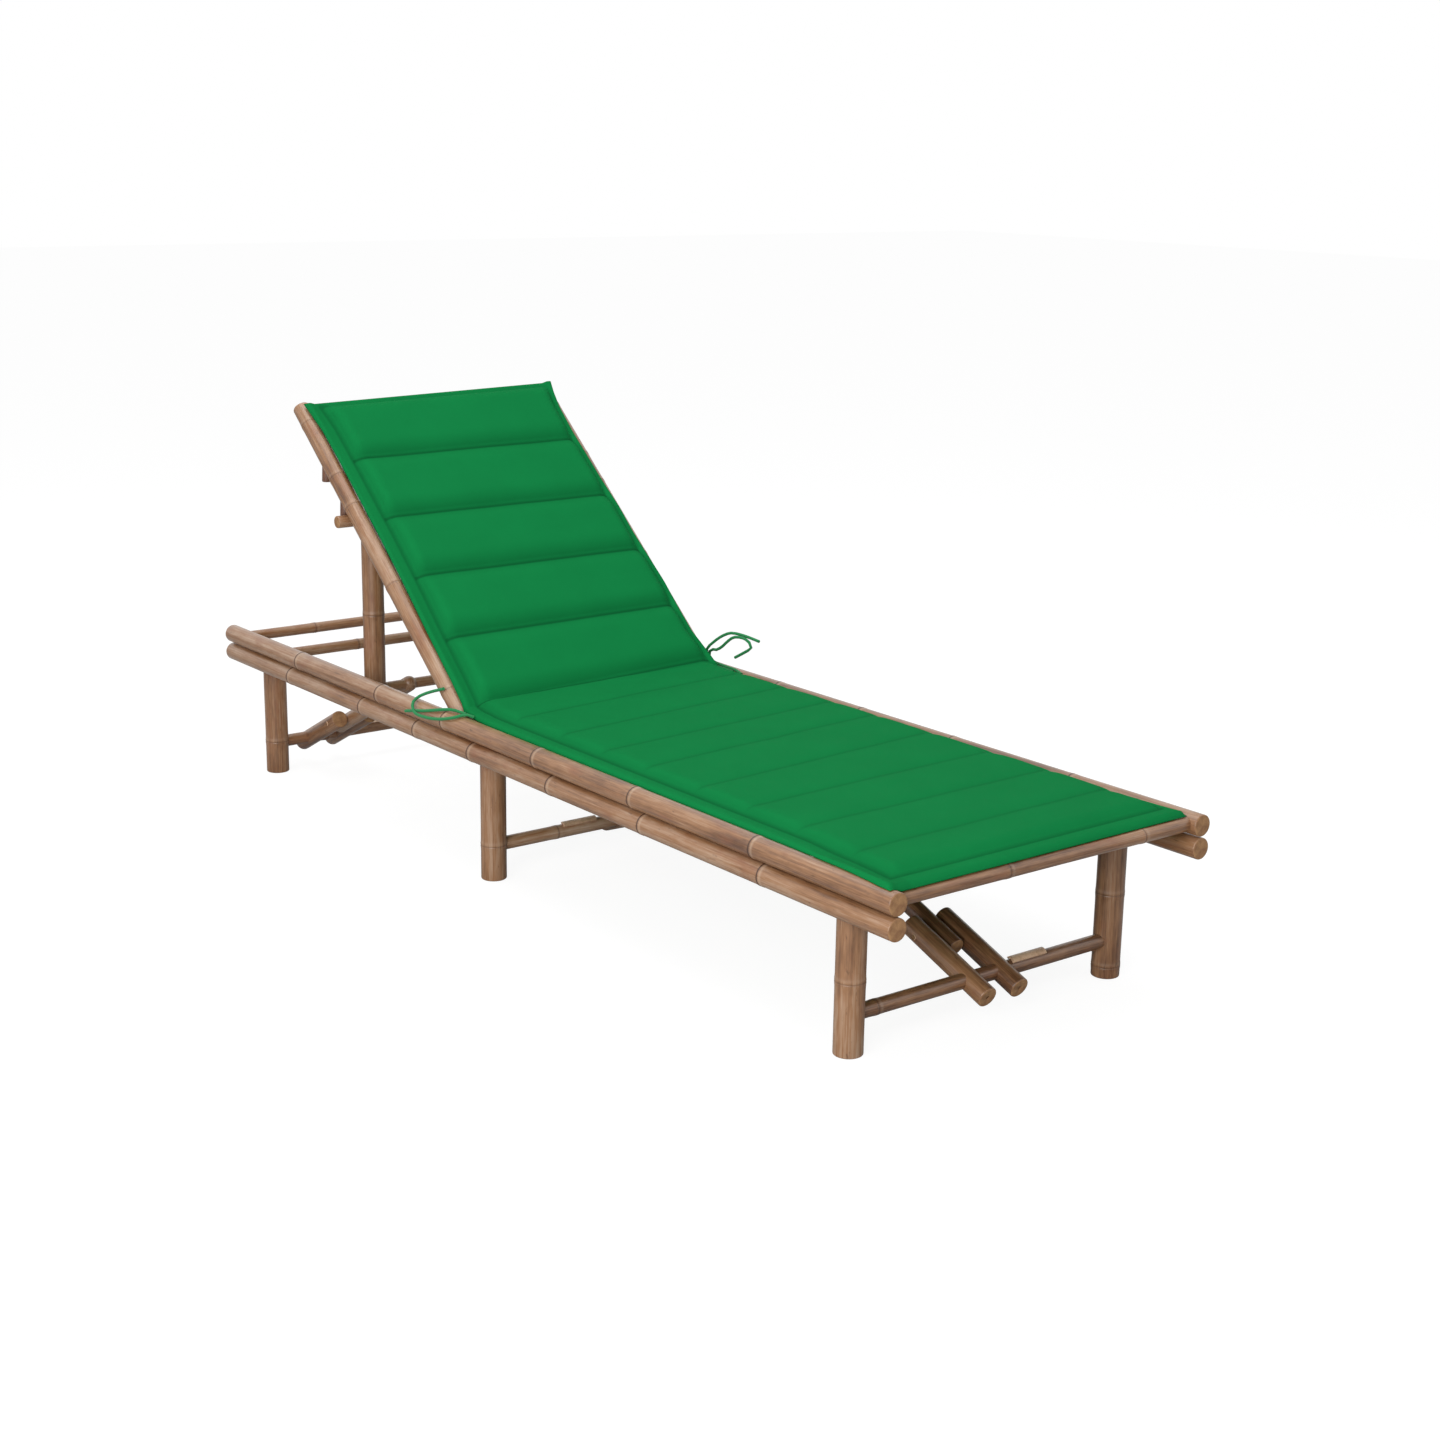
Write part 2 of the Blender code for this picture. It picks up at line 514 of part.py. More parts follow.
def cushion(name, start, end, panels, border_start, border_end, parent=None):
    """A quilted pad with crowned panels between channels, and a thin stitched border at its free edges."""
    half = CUSHION_WIDTH / 2
    flat = half - CUSHION_BORDER
    crown = flat - CUSHION_RAMP
    columns = [-half, -flat, -crown, -crown * 0.5, 0, crown * 0.5, crown, flat, half]
    first = start + border_start
    last = end - border_end
    pitch = (last - first) / panels
    rows = [(start, BORDER_THICKNESS)] if border_start else []
    for panel in range(panels):
        for step in range(PANEL_STEPS):
            along = step / PANEL_STEPS
            bulge = 1 - (2 * along - 1) ** 4
            thickness = CHANNEL_THICKNESS + (CUSHION_THICKNESS - CHANNEL_THICKNESS) * bulge
            rows.append((first + (panel + along) * pitch, thickness))
    rows.append((last, CHANNEL_THICKNESS))
    if border_end:
        rows.append((end, BORDER_THICKNESS))
    under = [(x, y, 0) for y, _ in rows for x in columns]
    top = []
    for y, thickness in rows:
        for x in columns:
            inside = abs(x) <= crown
            top.append((x, y, thickness if inside else min(thickness, BORDER_THICKNESS)))
    across = len(columns)
    above = len(under)
    faces = []
    for row in range(len(rows) - 1):
        for column in range(across - 1):
            corner = row * across + column
            faces.append((corner, corner + across, corner + across + 1, corner + 1))
            faces.append(tuple(above + point for point in (corner, corner + 1, corner + across + 1, corner + across)))
        for corner, turned_over in ((row * across, False), (row * across + across - 1, True)):
            side = (corner, above + corner, above + corner + across, corner + across)
            faces.append(side[::-1] if turned_over else side)
    for column in range(across - 1):
        for corner, turned_over in ((column, True), (above - across + column, False)):
            end = (corner, above + corner, above + corner + 1, corner + 1)
            faces.append(end[::-1] if turned_over else end)
    mesh = bpy.data.meshes.new(name)
    mesh.from_pydata(under + top, [], faces)
    return add_object(name, mesh, green_cloth, parent)


def smooth_route(points, step):
    """Points at even steps along a smooth curve through the route's own points."""
    way = [Vector(point) for point in points]
    ends = [2 * way[0] - way[1], *way, 2 * way[-1] - way[-2]]
    fine = []
    for i in range(len(way) - 1):
        before, start, finish, after = ends[i:i + 4]
        for k in range(16):
            t = k / 16
            fine.append(0.5 * (2 * start + (finish - before) * t
                               + (2 * before - 5 * start + 4 * finish - after) * t ** 2
                               + (3 * start - before - 3 * finish + after) * t ** 3))
    fine.append(way[-1])
    length = sum((b - a).length for a, b in zip(fine, fine[1:]))
    count = max(2, round(length / step))
    spaced = [fine[0]]
    travelled = 0
    for a, b in zip(fine, fine[1:]):
        travelled += (b - a).length
        if travelled >= length / count * len(spaced) - 1e-9 and len(spaced) < count:
            spaced.append(b)
    return [*spaced, fine[-1]]


def tie(name, route):
    """A tie cord as a tube along its route."""
    curve = bpy.data.curves.new(name, "CURVE")
    curve.dimensions = "3D"
    curve.bevel_depth = TIE_DIAMETER / 2
    curve.bevel_resolution = 2
    curve.use_fill_caps = True
    points = smooth_route(route, TIE_STEP)
    spline = curve.splines.new("POLY")
    spline.points.add(len(points) - 1)
    for knot, point in zip(spline.points, points):
        knot.co = (*point, 1)
    return add_object(name, curve, tie_cloth)


clear_scene()
parts = new_collection("sun_lounger")
cutters = new_collection("cutters")
bamboo = new_material("bamboo", (0.305, 0.171, 0.102), 0.45)
pale_bamboo = new_material("pale_bamboo", (0.46, 0.29, 0.15), 0.5)
pin_bamboo = new_material("pin_bamboo", (0.20, 0.09, 0.05), 0.5)
green_cloth = new_material("green_cloth", (0.010, 0.227, 0.064), 0.85)
tie_cloth = new_material("tie_cloth", (0.008, 0.175, 0.05), 0.85)

build_frame()
foot_pivot = build_leg_frame("foot", FOOT_LEG_Y)
mid_pivot = build_leg_frame("mid", MID_LEG_Y)
head_pivot = build_leg_frame("head", HEAD_LEG_Y)
build_clip("foot", foot_pivot, FOOT_CLIP_X)
build_clip("mid", mid_pivot, MID_CLIP_X)
build_clip("head", head_pivot, HEAD_CLIP_X)
build_stay("foot", foot_pivot, FOOT_LEG_Y, FOOT_STAY_X, STAY_POLE_Y)
build_stay("mid", mid_pivot, MID_LEG_Y, MID_STAY_X, STAY_POLE_Y)
build_stay("head", head_pivot, HEAD_LEG_Y, HEAD_STAY_X, PROP_Y)
back_pivot = build_backrest()
build_prop()
seat = cushion("seat_cushion", SEAT_START_Y, SEAT_END_Y, SEAT_PANELS, CUSHION_BORDER, 0)
seat.location = (0, 0, UPPER_Z + FOOT_POLE_DIAMETER / 2 + CUSHION_LIFT)
back = cushion("back_cushion", BACK_START, BACK_END, BACK_PANELS, 0, CUSHION_BORDER, back_pivot)
back.location = (0, 0, BACK_POLE_R + NODE_SWELL + CUSHION_LIFT)
for tie_name, tie_route in TIE_ROUTES.items():
    tie(tie_name, tie_route)
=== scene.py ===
# Bamboo sun lounger with a quilted green pad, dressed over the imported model
import math

import bmesh
import bpy
import numpy as np
from mathutils import Matrix, Vector, noise


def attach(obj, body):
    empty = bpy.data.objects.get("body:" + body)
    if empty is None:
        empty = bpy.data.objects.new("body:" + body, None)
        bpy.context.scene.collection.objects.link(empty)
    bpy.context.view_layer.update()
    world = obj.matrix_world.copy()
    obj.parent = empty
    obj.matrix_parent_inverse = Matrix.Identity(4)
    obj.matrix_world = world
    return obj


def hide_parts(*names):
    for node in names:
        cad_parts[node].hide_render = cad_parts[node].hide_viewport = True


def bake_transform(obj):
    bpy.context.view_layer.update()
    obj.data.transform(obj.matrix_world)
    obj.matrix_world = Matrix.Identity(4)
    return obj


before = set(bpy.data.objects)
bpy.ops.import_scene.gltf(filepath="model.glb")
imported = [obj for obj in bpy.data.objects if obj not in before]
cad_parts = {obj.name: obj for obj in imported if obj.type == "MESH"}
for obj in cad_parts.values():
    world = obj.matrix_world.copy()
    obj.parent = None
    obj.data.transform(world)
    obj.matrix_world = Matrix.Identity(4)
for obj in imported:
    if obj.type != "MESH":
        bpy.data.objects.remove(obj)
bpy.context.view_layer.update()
print("model loaded:", len(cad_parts), "nodes")


def addObject(name, data):
    made = bpy.data.objects.new(name, data)
    bpy.context.scene.collection.objects.link(made)
    return made


cameraSetup = {
    "lens": 55.56,  # mm, with the sensor in mm too
    "sensor": 36,
    "azimuth": -37.968,
    "elevation": 14.798,
    "roll": 0.963,
    "distance": 4.17428,
    "target": (0.25622, 0.11667, 0.2),
}


def addCamera(setup):
    azimuth, elevation, roll = (math.radians(setup[key]) for key in ("azimuth", "elevation", "roll"))
    level = math.cos(elevation)
    back = Vector((math.sin(azimuth) * level, -math.cos(azimuth) * level, math.sin(elevation)))
    right = Vector((math.cos(azimuth), math.sin(azimuth), 0))
    up = back.cross(right)
    cosine, sine = math.cos(roll), math.sin(roll)
    right, up = right * cosine + up * sine, up * cosine - right * sine
    data = bpy.data.cameras.new("photoCamera")
    data.lens = setup["lens"]
    data.sensor_width = setup["sensor"]
    data.sensor_fit = "HORIZONTAL"
    data.clip_end = 60
    camera = addObject("photoCamera", data)
    turn = Matrix((right, up, back)).transposed().to_4x4()
    camera.matrix_world = Matrix.Translation(Vector(setup["target"]) + back * setup["distance"]) @ turn
    bpy.context.scene.camera = camera


addCamera(cameraSetup)
print("camera placed")


class Socket:
    # one socket, so that shader maths reads as plain expressions
    def __init__(self, tree, socket):
        self.tree, self.socket = tree, socket

    def math(self, operation, *others, clamp=False):
        inputs = {0: self, **dict(enumerate(others, 1))}
        return self.tree.node("ShaderNodeMath", {"operation": operation, "use_clamp": clamp}, inputs)

    def __add__(self, other):
        return self.math("ADD", other)

    def __sub__(self, other):
        return self.math("SUBTRACT", other)

    def __mul__(self, other):
        return self.math("MULTIPLY", other)

    def __truediv__(self, other):
        return self.math("DIVIDE", other)

    def __rsub__(self, other):
        return self.tree.node("ShaderNodeMath", {"operation": "SUBTRACT"}, {0: other, 1: self})

    def __rtruediv__(self, other):
        return self.tree.node("ShaderNodeMath", {"operation": "DIVIDE"}, {0: other, 1: self})

    __radd__ = __add__
    __rmul__ = __mul__

    def clamped(self):
        return self.math("ADD", 0, clamp=True)

    def above(self, start, gain):
        # 0 up to the start, then rising to 1
        return ((self - start) * gain).clamped()


class Surface:
    # the node tree of a material or a world, with one method that adds any node
    def __init__(self, owner):
        owner.use_nodes = True
        self.owner = owner
        self.nodes = owner.node_tree.nodes
        self.links = owner.node_tree.links
        self.shader = self.nodes.get("Principled BSDF") or self.nodes["Background"]

    def node(self, kind, settings=None, inputs=None, out=0):
        made = self.nodes.new(kind)
        for key, value in (settings or {}).items():
            if key == "stops":
                self.setStops(made.color_ramp, value)
            else:
                setattr(made, key, value)
        for key, value in (inputs or {}).items():
            self.feed(made.inputs[key], value)
        return Socket(self, made.outputs[out])

    def feed(self, socket, value):
        if isinstance(value, Socket):
            self.links.new(value.socket, socket)
        elif isinstance(value, tuple) and len(value) == 3 and socket.type == "RGBA":
            socket.default_value = (*value, 1)
        else:
            socket.default_value = value

    def setStops(self, ramp, stops):
        while len(ramp.elements) < len(stops):
            ramp.elements.new(0.5)
        for element, (place, colour) in zip(ramp.elements, stops):
            element.position = place
            element.color = (*colour, 1)

    def wear(self, values):
        # feeds the shader of this surface, by the names of its sockets
        for key, value in values.items():
            self.feed(self.shader.inputs[key], value)

    def attribute(self, name, out="Vector"):
        return self.node("ShaderNodeAttribute", {"attribute_name": name}, out=out)

    def split(self, vector):
        outputs = self.node("ShaderNodeSeparateXYZ", {}, {0: vector}).socket.node.outputs
        return [Socket(self, output) for output in outputs]

    def mix(self, amount, first, second):
        # sockets 6, 7 and 2 are the colours of a Mix node
        return self.node("ShaderNodeMix", {"data_type": "RGBA"}, {0: amount, 6: first, 7: second}, out=2)

    def noise(self, where, scale, detail, roughness):
        inputs = {"Vector": where, "Scale": scale, "Detail": detail, "Roughness": roughness}
        return self.node("ShaderNodeTexNoise", {}, inputs)

    def stretched(self, where, scales, shift=(0, 0, 0)):
        return self.node("ShaderNodeMapping", {}, {"Vector": where, "Scale": scales, "Location": shift})

    def grown(self, where, along, shift=(0, 0, 0), **pattern):
        # noise drawn out along a cane
        return self.noise(self.stretched(where, (1, 1, along), shift), **pattern)

    def bump(self, height, strength, distance):
        return self.node("ShaderNodeBump", {}, {"Height": height, "Strength": strength, "Distance": distance})


bambooLook = {
    "deep": (0.110, 0.045, 0.019),
    "body": (0.320, 0.160, 0.074),
    "light": (0.540, 0.392, 0.280),
    "red": (0.250, 0.088, 0.036),
    "ring": (0.052, 0.021, 0.010),
    "places": (0.16, 0.46, 0.86),  # of deep, body and light on the ramp
    "gloss": 0.30,
    "specular": 0.45,
    "varnish": 0.5,
    "varnishGloss": 0.27,
    "bump": (0.35, 0.0006),  # strength and height in metres
    # the patterns, each with the share of its scale that is left along the cane
    "fibre": {"scale": 620, "along": 0.014, "detail": 3, "roughness": 0.6},
    "streak": {"scale": 150, "along": 0.035, "detail": 3, "roughness": 0.55},
    "patch": {"scale": 18, "along": 0.30, "detail": 4, "roughness": 0.6},
    "blush": {"scale": 21, "along": 0.5, "detail": 4, "roughness": 0.65, "shift": (3, 1, 7)},
    "grain": {"scale": 300, "along": 0.12, "detail": 2, "roughness": 0.5, "shift": (5, 2, 1)},
    "speck": {"scale": 210, "along": 0.3, "detail": 2, "roughness": 0.5, "shift": (9, 4, 2)},
    # what each adds to the lightness, and what is taken off in the end
    "shares": {"patch": 0.75, "streak": 0.5, "fibre": 0.45, "grain": 0.3, "tone": 0.17, "off": 0.535},
    "blushFrom": (0.54, 6.0), "blushMost": 0.6,
    "speckFrom": (0.66, 9.0), "speckMost": 0.5,
    "band": 0.45,  # how far the ring beside a node goes to the light colour
    "scar": 1.15,  # how far its scar line goes to the ring colour
}


def bambooSurface(name, look):
    surface = Surface(bpy.data.materials.new(name))
    where = surface.node("ShaderNodeTexCoord", out="Object")
    groove, ridge, tone = surface.split(surface.attribute("poleMarks"))
    own = surface.attribute("poleSeed", "Fac")
    seed = surface.node("ShaderNodeCombineXYZ", {}, {0: own * 3.1, 1: own * 7.7, 2: own * 5.3})
    moved = surface.node("ShaderNodeVectorMath", {"operation": "ADD"}, {0: where, 1: seed})
    names = ("fibre", "streak", "patch", "blush", "grain", "speck")
    fibre, streak, patch, blush, grain, speck = (surface.grown(moved, **look[key]) for key in names)
    shares = look["shares"]
    light = patch * shares["patch"] + streak * shares["streak"] + fibre * shares["fibre"]
    light = light + grain * shares["grain"] + tone * shares["tone"] - shares["off"]
    stops = [(place, look[key]) for place, key in zip(look["places"], ("deep", "body", "light"))]
    colour = surface.node("ShaderNodeValToRGB", {"stops": stops}, {0: light})
    colour = surface.mix(blush.above(*look["blushFrom"]) * look["blushMost"], colour, look["red"])
    colour = surface.mix((ridge * look["band"]).clamped(), colour, look["light"])
    colour = surface.mix(speck.above(*look["speckFrom"]) * look["speckMost"], colour, look["ring"])
    colour = surface.mix((groove * look["scar"]).clamped(), colour, look["ring"])
    height = fibre * 0.35 + streak * 0.5 - groove * 0.8
    surface.wear({
        "Base Color": colour,
        "Roughness": (look["gloss"] + streak * 0.16 + groove * 0.3).clamped(),
        "Specular IOR Level": look["specular"],
        "Coat Weight": look["varnish"],
        "Coat Roughness": look["varnishGloss"],
        "Normal": surface.bump(height, *look["bump"]),
    })
    return surface.owner


cutLook = {
    "rim": (0.250, 0.120, 0.052),
    "heart": (0.460, 0.255, 0.112),
    "dot": (0.120, 0.052, 0.024),
    "cloud": {"scale": 60, "detail": 4, "roughness": 0.65},
    "heartFrom": (0.38, 3.2),
    "dots": 900,  # fibre bundles to a metre
    "bump": (0.5, 0.0008),
}


def cutSurface(name, look):
    # cross-cut bamboo: cloudy wood with the dots of its fibre bundles
    surface = Surface(bpy.data.materials.new(name))
    where = surface.node("ShaderNodeTexCoord", out="Object")
    broad = surface.noise(where, **look["cloud"])
    dots = surface.node("ShaderNodeTexVoronoi", {"feature": "F1"}, {"Vector": where, "Scale": look["dots"]})
    colour = surface.mix(broad.above(*look["heartFrom"]), look["rim"], look["heart"])
    colour = surface.mix(((0.34 - dots) * 3.0).clamped() * 0.55, colour, look["dot"])
    surface.wear({
        "Base Color": colour,
        "Roughness": (0.58 + broad * 0.25).clamped(),
        "Normal": surface.bump(broad + dots * 0.4, *look["bump"]),
    })
    return surface.owner


clothLook = {
    "body": (0.0058, 0.2170, 0.0560),
    "shade": (0.0053, 0.2000, 0.0515),
    # painted shadow colour: the cloth is darkened towards it along the seams and in the shade beside them
    "seamShadow": (0.0028, 0.0980, 0.0260),
    "thread": (0.0050, 0.1600, 0.0440),
    "threadPitch": 0.0011,
    "stitchPitch": 0.0032,
    "stitchHalf": 0.0006,  # half the width of the sewing thread
    "crossCrease": 0.0045,  # how far the dark line reaches beside a cross seam
    "edgeCrease": 0.006,
    "specular": 0.03,
    "mottle": {"scale": 9, "detail": 4, "roughness": 0.6},
    "bodyFrom": (0.40, 2.2),
    "slubStretch": (60, 900, 1),
    "slub": {"scale": 1, "detail": 2, "roughness": 0.6},
    "bump": (0.30, 0.0003),
}


def clothSurface(name, look):
    surface = Surface(bpy.data.materials.new(name))
    way = surface.attribute("clothWay")
    across, along, _ = surface.split(way)
    crossSeam, edgeSeam, _ = surface.split(surface.attribute("seamWay"))
    crossShow, edgeShow, shade = surface.split(surface.attribute("seamShow"))
    turn = 2 * math.pi / look["threadPitch"]
    weave = (across * turn).math("SINE") * (along * turn).math("SINE")
    mottle = surface.noise(way, **look["mottle"])
    slub = surface.noise(surface.stretched(way, look["slubStretch"]), **look["slub"])

    def beside(distance, reach):
        return (1 - distance.math("ABSOLUTE") / reach).clamped()

    def dashes(distance, place):
        beat = (place * (2 * math.pi / look["stitchPitch"])).math("SINE")
        return beside(distance, look["stitchHalf"]) * ((beat + 0.55) * 4.0).clamped()

    stitches = (dashes(crossSeam, across) + dashes(edgeSeam, across + along)).clamped()
    # painted shade: dark lines along the cross and edge seams, and the broad shade beside them, mix the cloth
    # towards the painted shadow colour
    crossLine = beside(crossSeam, look["crossCrease"]) * crossShow
    edgeLine = beside(edgeSeam, look["edgeCrease"]) * edgeShow
    dark = 1 - (1 - (crossLine + edgeLine).clamped()) * (1 - shade)
    colour = surface.mix(mottle.above(*look["bodyFrom"]), look["shade"], look["body"])
    colour = surface.mix(dark.clamped(), colour, look["seamShadow"])
    colour = surface.mix(stitches * 0.25, colour, look["thread"])
    surface.wear({
        "Base Color": colour,
        "Roughness": (0.80 + slub * 0.12).clamped(),
        "Specular IOR Level": look["specular"],
        "Normal": surface.bump(weave * 0.5 + slub * 0.35 + stitches * 1.2, *look["bump"]),
    })
    return surface.owner


tieLook = {
    "body": (0.0070, 0.1750, 0.0500),
    "light": (0.0110, 0.2500, 0.0720),
    "sheen": 0.1,
    "grain": {"scale": 1400, "detail": 2, "roughness": 0.5},
    "soft": {"scale": 120, "detail": 3, "roughness": 0.6},
    "bump": (0.4, 0.0003),
}


def tieSurface(name, look):
    # cloth tape with a fine, soft grain
    surface = Surface(bpy.data.materials.new(name))
    where = surface.node("ShaderNodeTexCoord", out="Object")
    grain = surface.noise(where, **look["grain"])
    soft = surface.noise(where, **look["soft"])
    surface.wear({
        "Base Color": surface.mix((grain * 0.6 + soft * 0.5).clamped(), look["body"], look["light"]),
        "Roughness": (0.74 + soft * 0.15).clamped(),
        "Normal": surface.bump(grain, *look["bump"]),
        "Sheen Weight": look["sheen"],
    })
    return surface.owner


paleLook = {
    **bambooLook,
    "deep": (0.420, 0.240, 0.140),
    "body": (0.720, 0.470, 0.300),
    "light": (0.820, 0.620, 0.450),
    "gloss": 0.5,
}
darkLook = {
    **bambooLook,
    "deep": (0.070, 0.028, 0.016),
    "body": (0.180, 0.082, 0.048),
    "light": (0.300, 0.160, 0.100),
}
cutDarkLook = {
    **cutLook,
    "rim": (0.110, 0.050, 0.026),
    "heart": (0.230, 0.120, 0.060),
    "dot": (0.050, 0.022, 0.012),
}

bamboo = bambooSurface("bambooCane", bambooLook)
paleBamboo = bambooSurface("splitBamboo", paleLook)
darkBamboo = bambooSurface("pegBamboo", darkLook)
cutBamboo = cutSurface("cutBamboo", cutLook)
cutDark = cutSurface("cutPeg", cutDarkLook)
cloth = clothSurface("greenCanvas", clothLook)
tieCloth = tieSurface("greenTape", tieLook)
print("materials made")


tieSetup = {
    "diameter": 0.0056,
    "step": 0.011,
    "turns": 16,  # points of the fine curve to each stretch of a route
}
tieRoutes = {
    "tie_left_straight": ((-0.2925, 0.126, 0.2900), (-0.305, 0.150, 0.2945), (-0.317, 0.172, 0.2915),
                          (-0.3255, 0.209, 0.283), (-0.3285, 0.245, 0.276), (-0.3287, 0.270, 0.270)),
    "tie_left_loop": ((-0.2925, 0.100, 0.2900), (-0.304, 0.108, 0.2945), (-0.321, 0.121, 0.289),
                      (-0.3285, 0.156, 0.280), (-0.3325, 0.195, 0.2755), (-0.3345, 0.229, 0.277),
                      (-0.3275, 0.246, 0.290), (-0.308, 0.256, 0.297), (-0.2965, 0.240, 0.306),
                      (-0.2927, 0.199, 0.320)),
    "tie_right_arc": ((0.2925, 0.126, 0.2868), (0.2925, 0.150, 0.2868), (0.2927, 0.175, 0.2872),
                      (0.2935, 0.198, 0.2925), (0.2955, 0.211, 0.3020), (0.298, 0.2135, 0.3145),
                      (0.301, 0.196, 0.3305), (0.3035, 0.1755, 0.3445), (0.306, 0.154, 0.3540),
                      (0.308, 0.1325, 0.3560), (0.310, 0.105, 0.3550), (0.312, 0.074, 0.352)),
    "tie_right_loop": ((0.2925, 0.100, 0.2868), (0.2945, 0.112, 0.2886), (0.2962, 0.126, 0.2903),
                       (0.2965, 0.150, 0.2905), (0.2970, 0.172, 0.2910), (0.2982, 0.192, 0.2922),
                       (0.2995, 0.2045, 0.2955), (0.3005, 0.2115, 0.3045), (0.301, 0.2035, 0.3135),
                       (0.301, 0.188, 0.3160), (0.301, 0.171, 0.3255), (0.301, 0.1536, 0.3394),
                       (0.301, 0.1355, 0.3500), (0.301, 0.1114, 0.3535), (0.301, 0.092, 0.3500),
                       (0.301, 0.0835, 0.3396), (0.301, 0.104, 0.3265), (0.301, 0.131, 0.3120)),
}


def smoothRoute(points, step):
    # a smooth curve through the points, then cut into even steps
    way = [Vector(point) for point in points]
    ends = [2 * way[0] - way[1], *way, 2 * way[-1] - way[-2]]
    fine = []
    for i in range(len(way) - 1):
        before, start, finish, after = ends[i:i + 4]
        for k in range(tieSetup["turns"]):
            t = k / tieSetup["turns"]
            fine.append(0.5 * (2 * start + (finish - before) * t
                               + (2 * before - 5 * start + 4 * finish - after) * t ** 2
                               + (3 * start - before - 3 * finish + after) * t ** 3))
    fine.append(way[-1])
    length = sum((b - a).length for a, b in zip(fine, fine[1:]))
    count = max(2, round(length / step))
    spaced, travelled = [fine[0]], 0
    for a, b in zip(fine, fine[1:]):
        travelled += (b - a).length
        if travelled >= length / count * len(spaced) - 1e-9 and len(spaced) < count:
            spaced.append(b)
    return [*spaced, fine[-1]]


def addTie(name, route):
    points = smoothRoute(route, tieSetup["step"])
    curve = bpy.data.curves.new(name + "_tape", "CURVE")
    curve.dimensions = "3D"
    curve.bevel_depth = tieSetup["diameter"] / 2
    curve.bevel_resolution = 4
    curve.use_fill_caps = True
    spline = curve.splines.new("POLY")
    spline.points.add(len(points) - 1)
    for knot, point in zip(spline.points, points):
        knot.co = (*point, 1)
    curve.materials.append(tieCloth)
    piece = addObject(name + "_tape", curve)
    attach(piece, "frame")
    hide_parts(name)
    length = sum((b - a).length for a, b in zip(points, points[1:]))


for tieName, tieRoute in tieRoutes.items():
    addTie(tieName, tieRoute)
print("ties laid")


def markPoints(mesh, name, values):
    # one number or one vector for each point, which the shaders read under this name
    table = np.array(values, np.float32)
    kind, field = ("FLOAT_VECTOR", "vector") if table.ndim == 2 else ("FLOAT", "value")
    mesh.attributes.new(name, kind, "POINT").data.foreach_set(field, table.ravel())


def finishMesh(mesh, weld=False):
    shape = bmesh.new()
    shape.from_mesh(mesh)
    if weld:
        bmesh.ops.remove_doubles(shape, verts=shape.verts, dist=1e-6)
    bmesh.ops.recalc_face_normals(shape, faces=shape.faces)
    shape.to_mesh(mesh)
    shape.free()
    mesh.shade_smooth()


caneSetup = {
    "sides": 32,
    "ringStep": 0.028,
    "swell": 0.0007,  # how far a node stands out, and over what length
    "swellReach": 0.006,
    "groove": 0.0005,  # depth of the scar line in the middle of a node
    "grooveReach": 0.0009,
    "darkReach": 0.0016,
    "bandAway": 0.0058,  # the light band beside a node
    "bandReach": 0.0026,
    "unevenness": 0.012,  # share of the radius
    "cutRound": 0.0022,
    "pithDepth": 0.030,
    "nodeClear": 0.02,  # the plain rings keep this far from a node
    "endClear": 0.0005,
    # the rings of a node, as heights from its middle
    "offsets": (-0.016, -0.009, -0.0055, -0.0035, -0.0024, -0.0014, -0.0007, 0, 0.0007, 0.0014, 0.0024,
                0.0035, 0.0048, 0.0062, 0.0078, 0.010, 0.016),
}

# shades seen in the photo, for a whole pole or for its two ends
# these tones hold both the poles' own colour and painted shade: poles in shadow, such as the brace and fork
# poles under the pad and the far foot leg, are made darker
poleTones = {
    "lower_rail_left_cane": (-0.1, 0.3),
    "upper_rail_left_cane": (-1.1, 0.2),
    "back_pole_left_cane": 0.1,
    "foot_cross_pole_cane": -0.5,
    "foot_crossbar_cane": -0.8,
    "foot_leg_left_cane": 0.15,
    "foot_leg_right_cane": -1.1,
    "foot_fork_pole_a_cane": -0.9,
    "foot_fork_pole_b_cane": -1.4,
    "foot_brace_cane": -1.8,
    "mid_leg_left_cane": 0.05,
    "head_leg_left_cane": -0.25,
}


def toneOf(name):
    # the shade at the two ends; a pole that isn't listed has one from the letters of its name
    letters = sum(ord(letter) * (i * 37 + 11) for i, letter in enumerate(name))
    tone = poleTones.get(name, (letters % 140) / 100 - 0.7)
    return tone if isinstance(tone, tuple) else (tone, tone)


def capProfile(radius, kind, hole=0):
    # rings of one end from its middle outwards, as (depth from the end, radius)
    edge = caneSetup["cutRound"]
    if kind == "dome":
        angles = [math.pi / 2 * i / 8 for i in range(9)]
        return [(radius - radius * math.cos(a), radius * math.sin(a)) for a in angles]
    rings = [(0, 0), (0, radius * 0.35), (0, radius * 0.7)]
    if hole:
        deep = caneSetup["pithDepth"]
        rings = [(deep, 0), (deep, hole * 0.8), (deep - 0.002, hole), (0.001, hole), (0, hole * 1.25),
                 (0, radius * 0.7)]
    angles = [math.pi / 2 * i / 4 for i in range(5)]
    return rings + [(edge - edge * math.cos(a), radius - edge + edge * math.sin(a)) for a in angles]


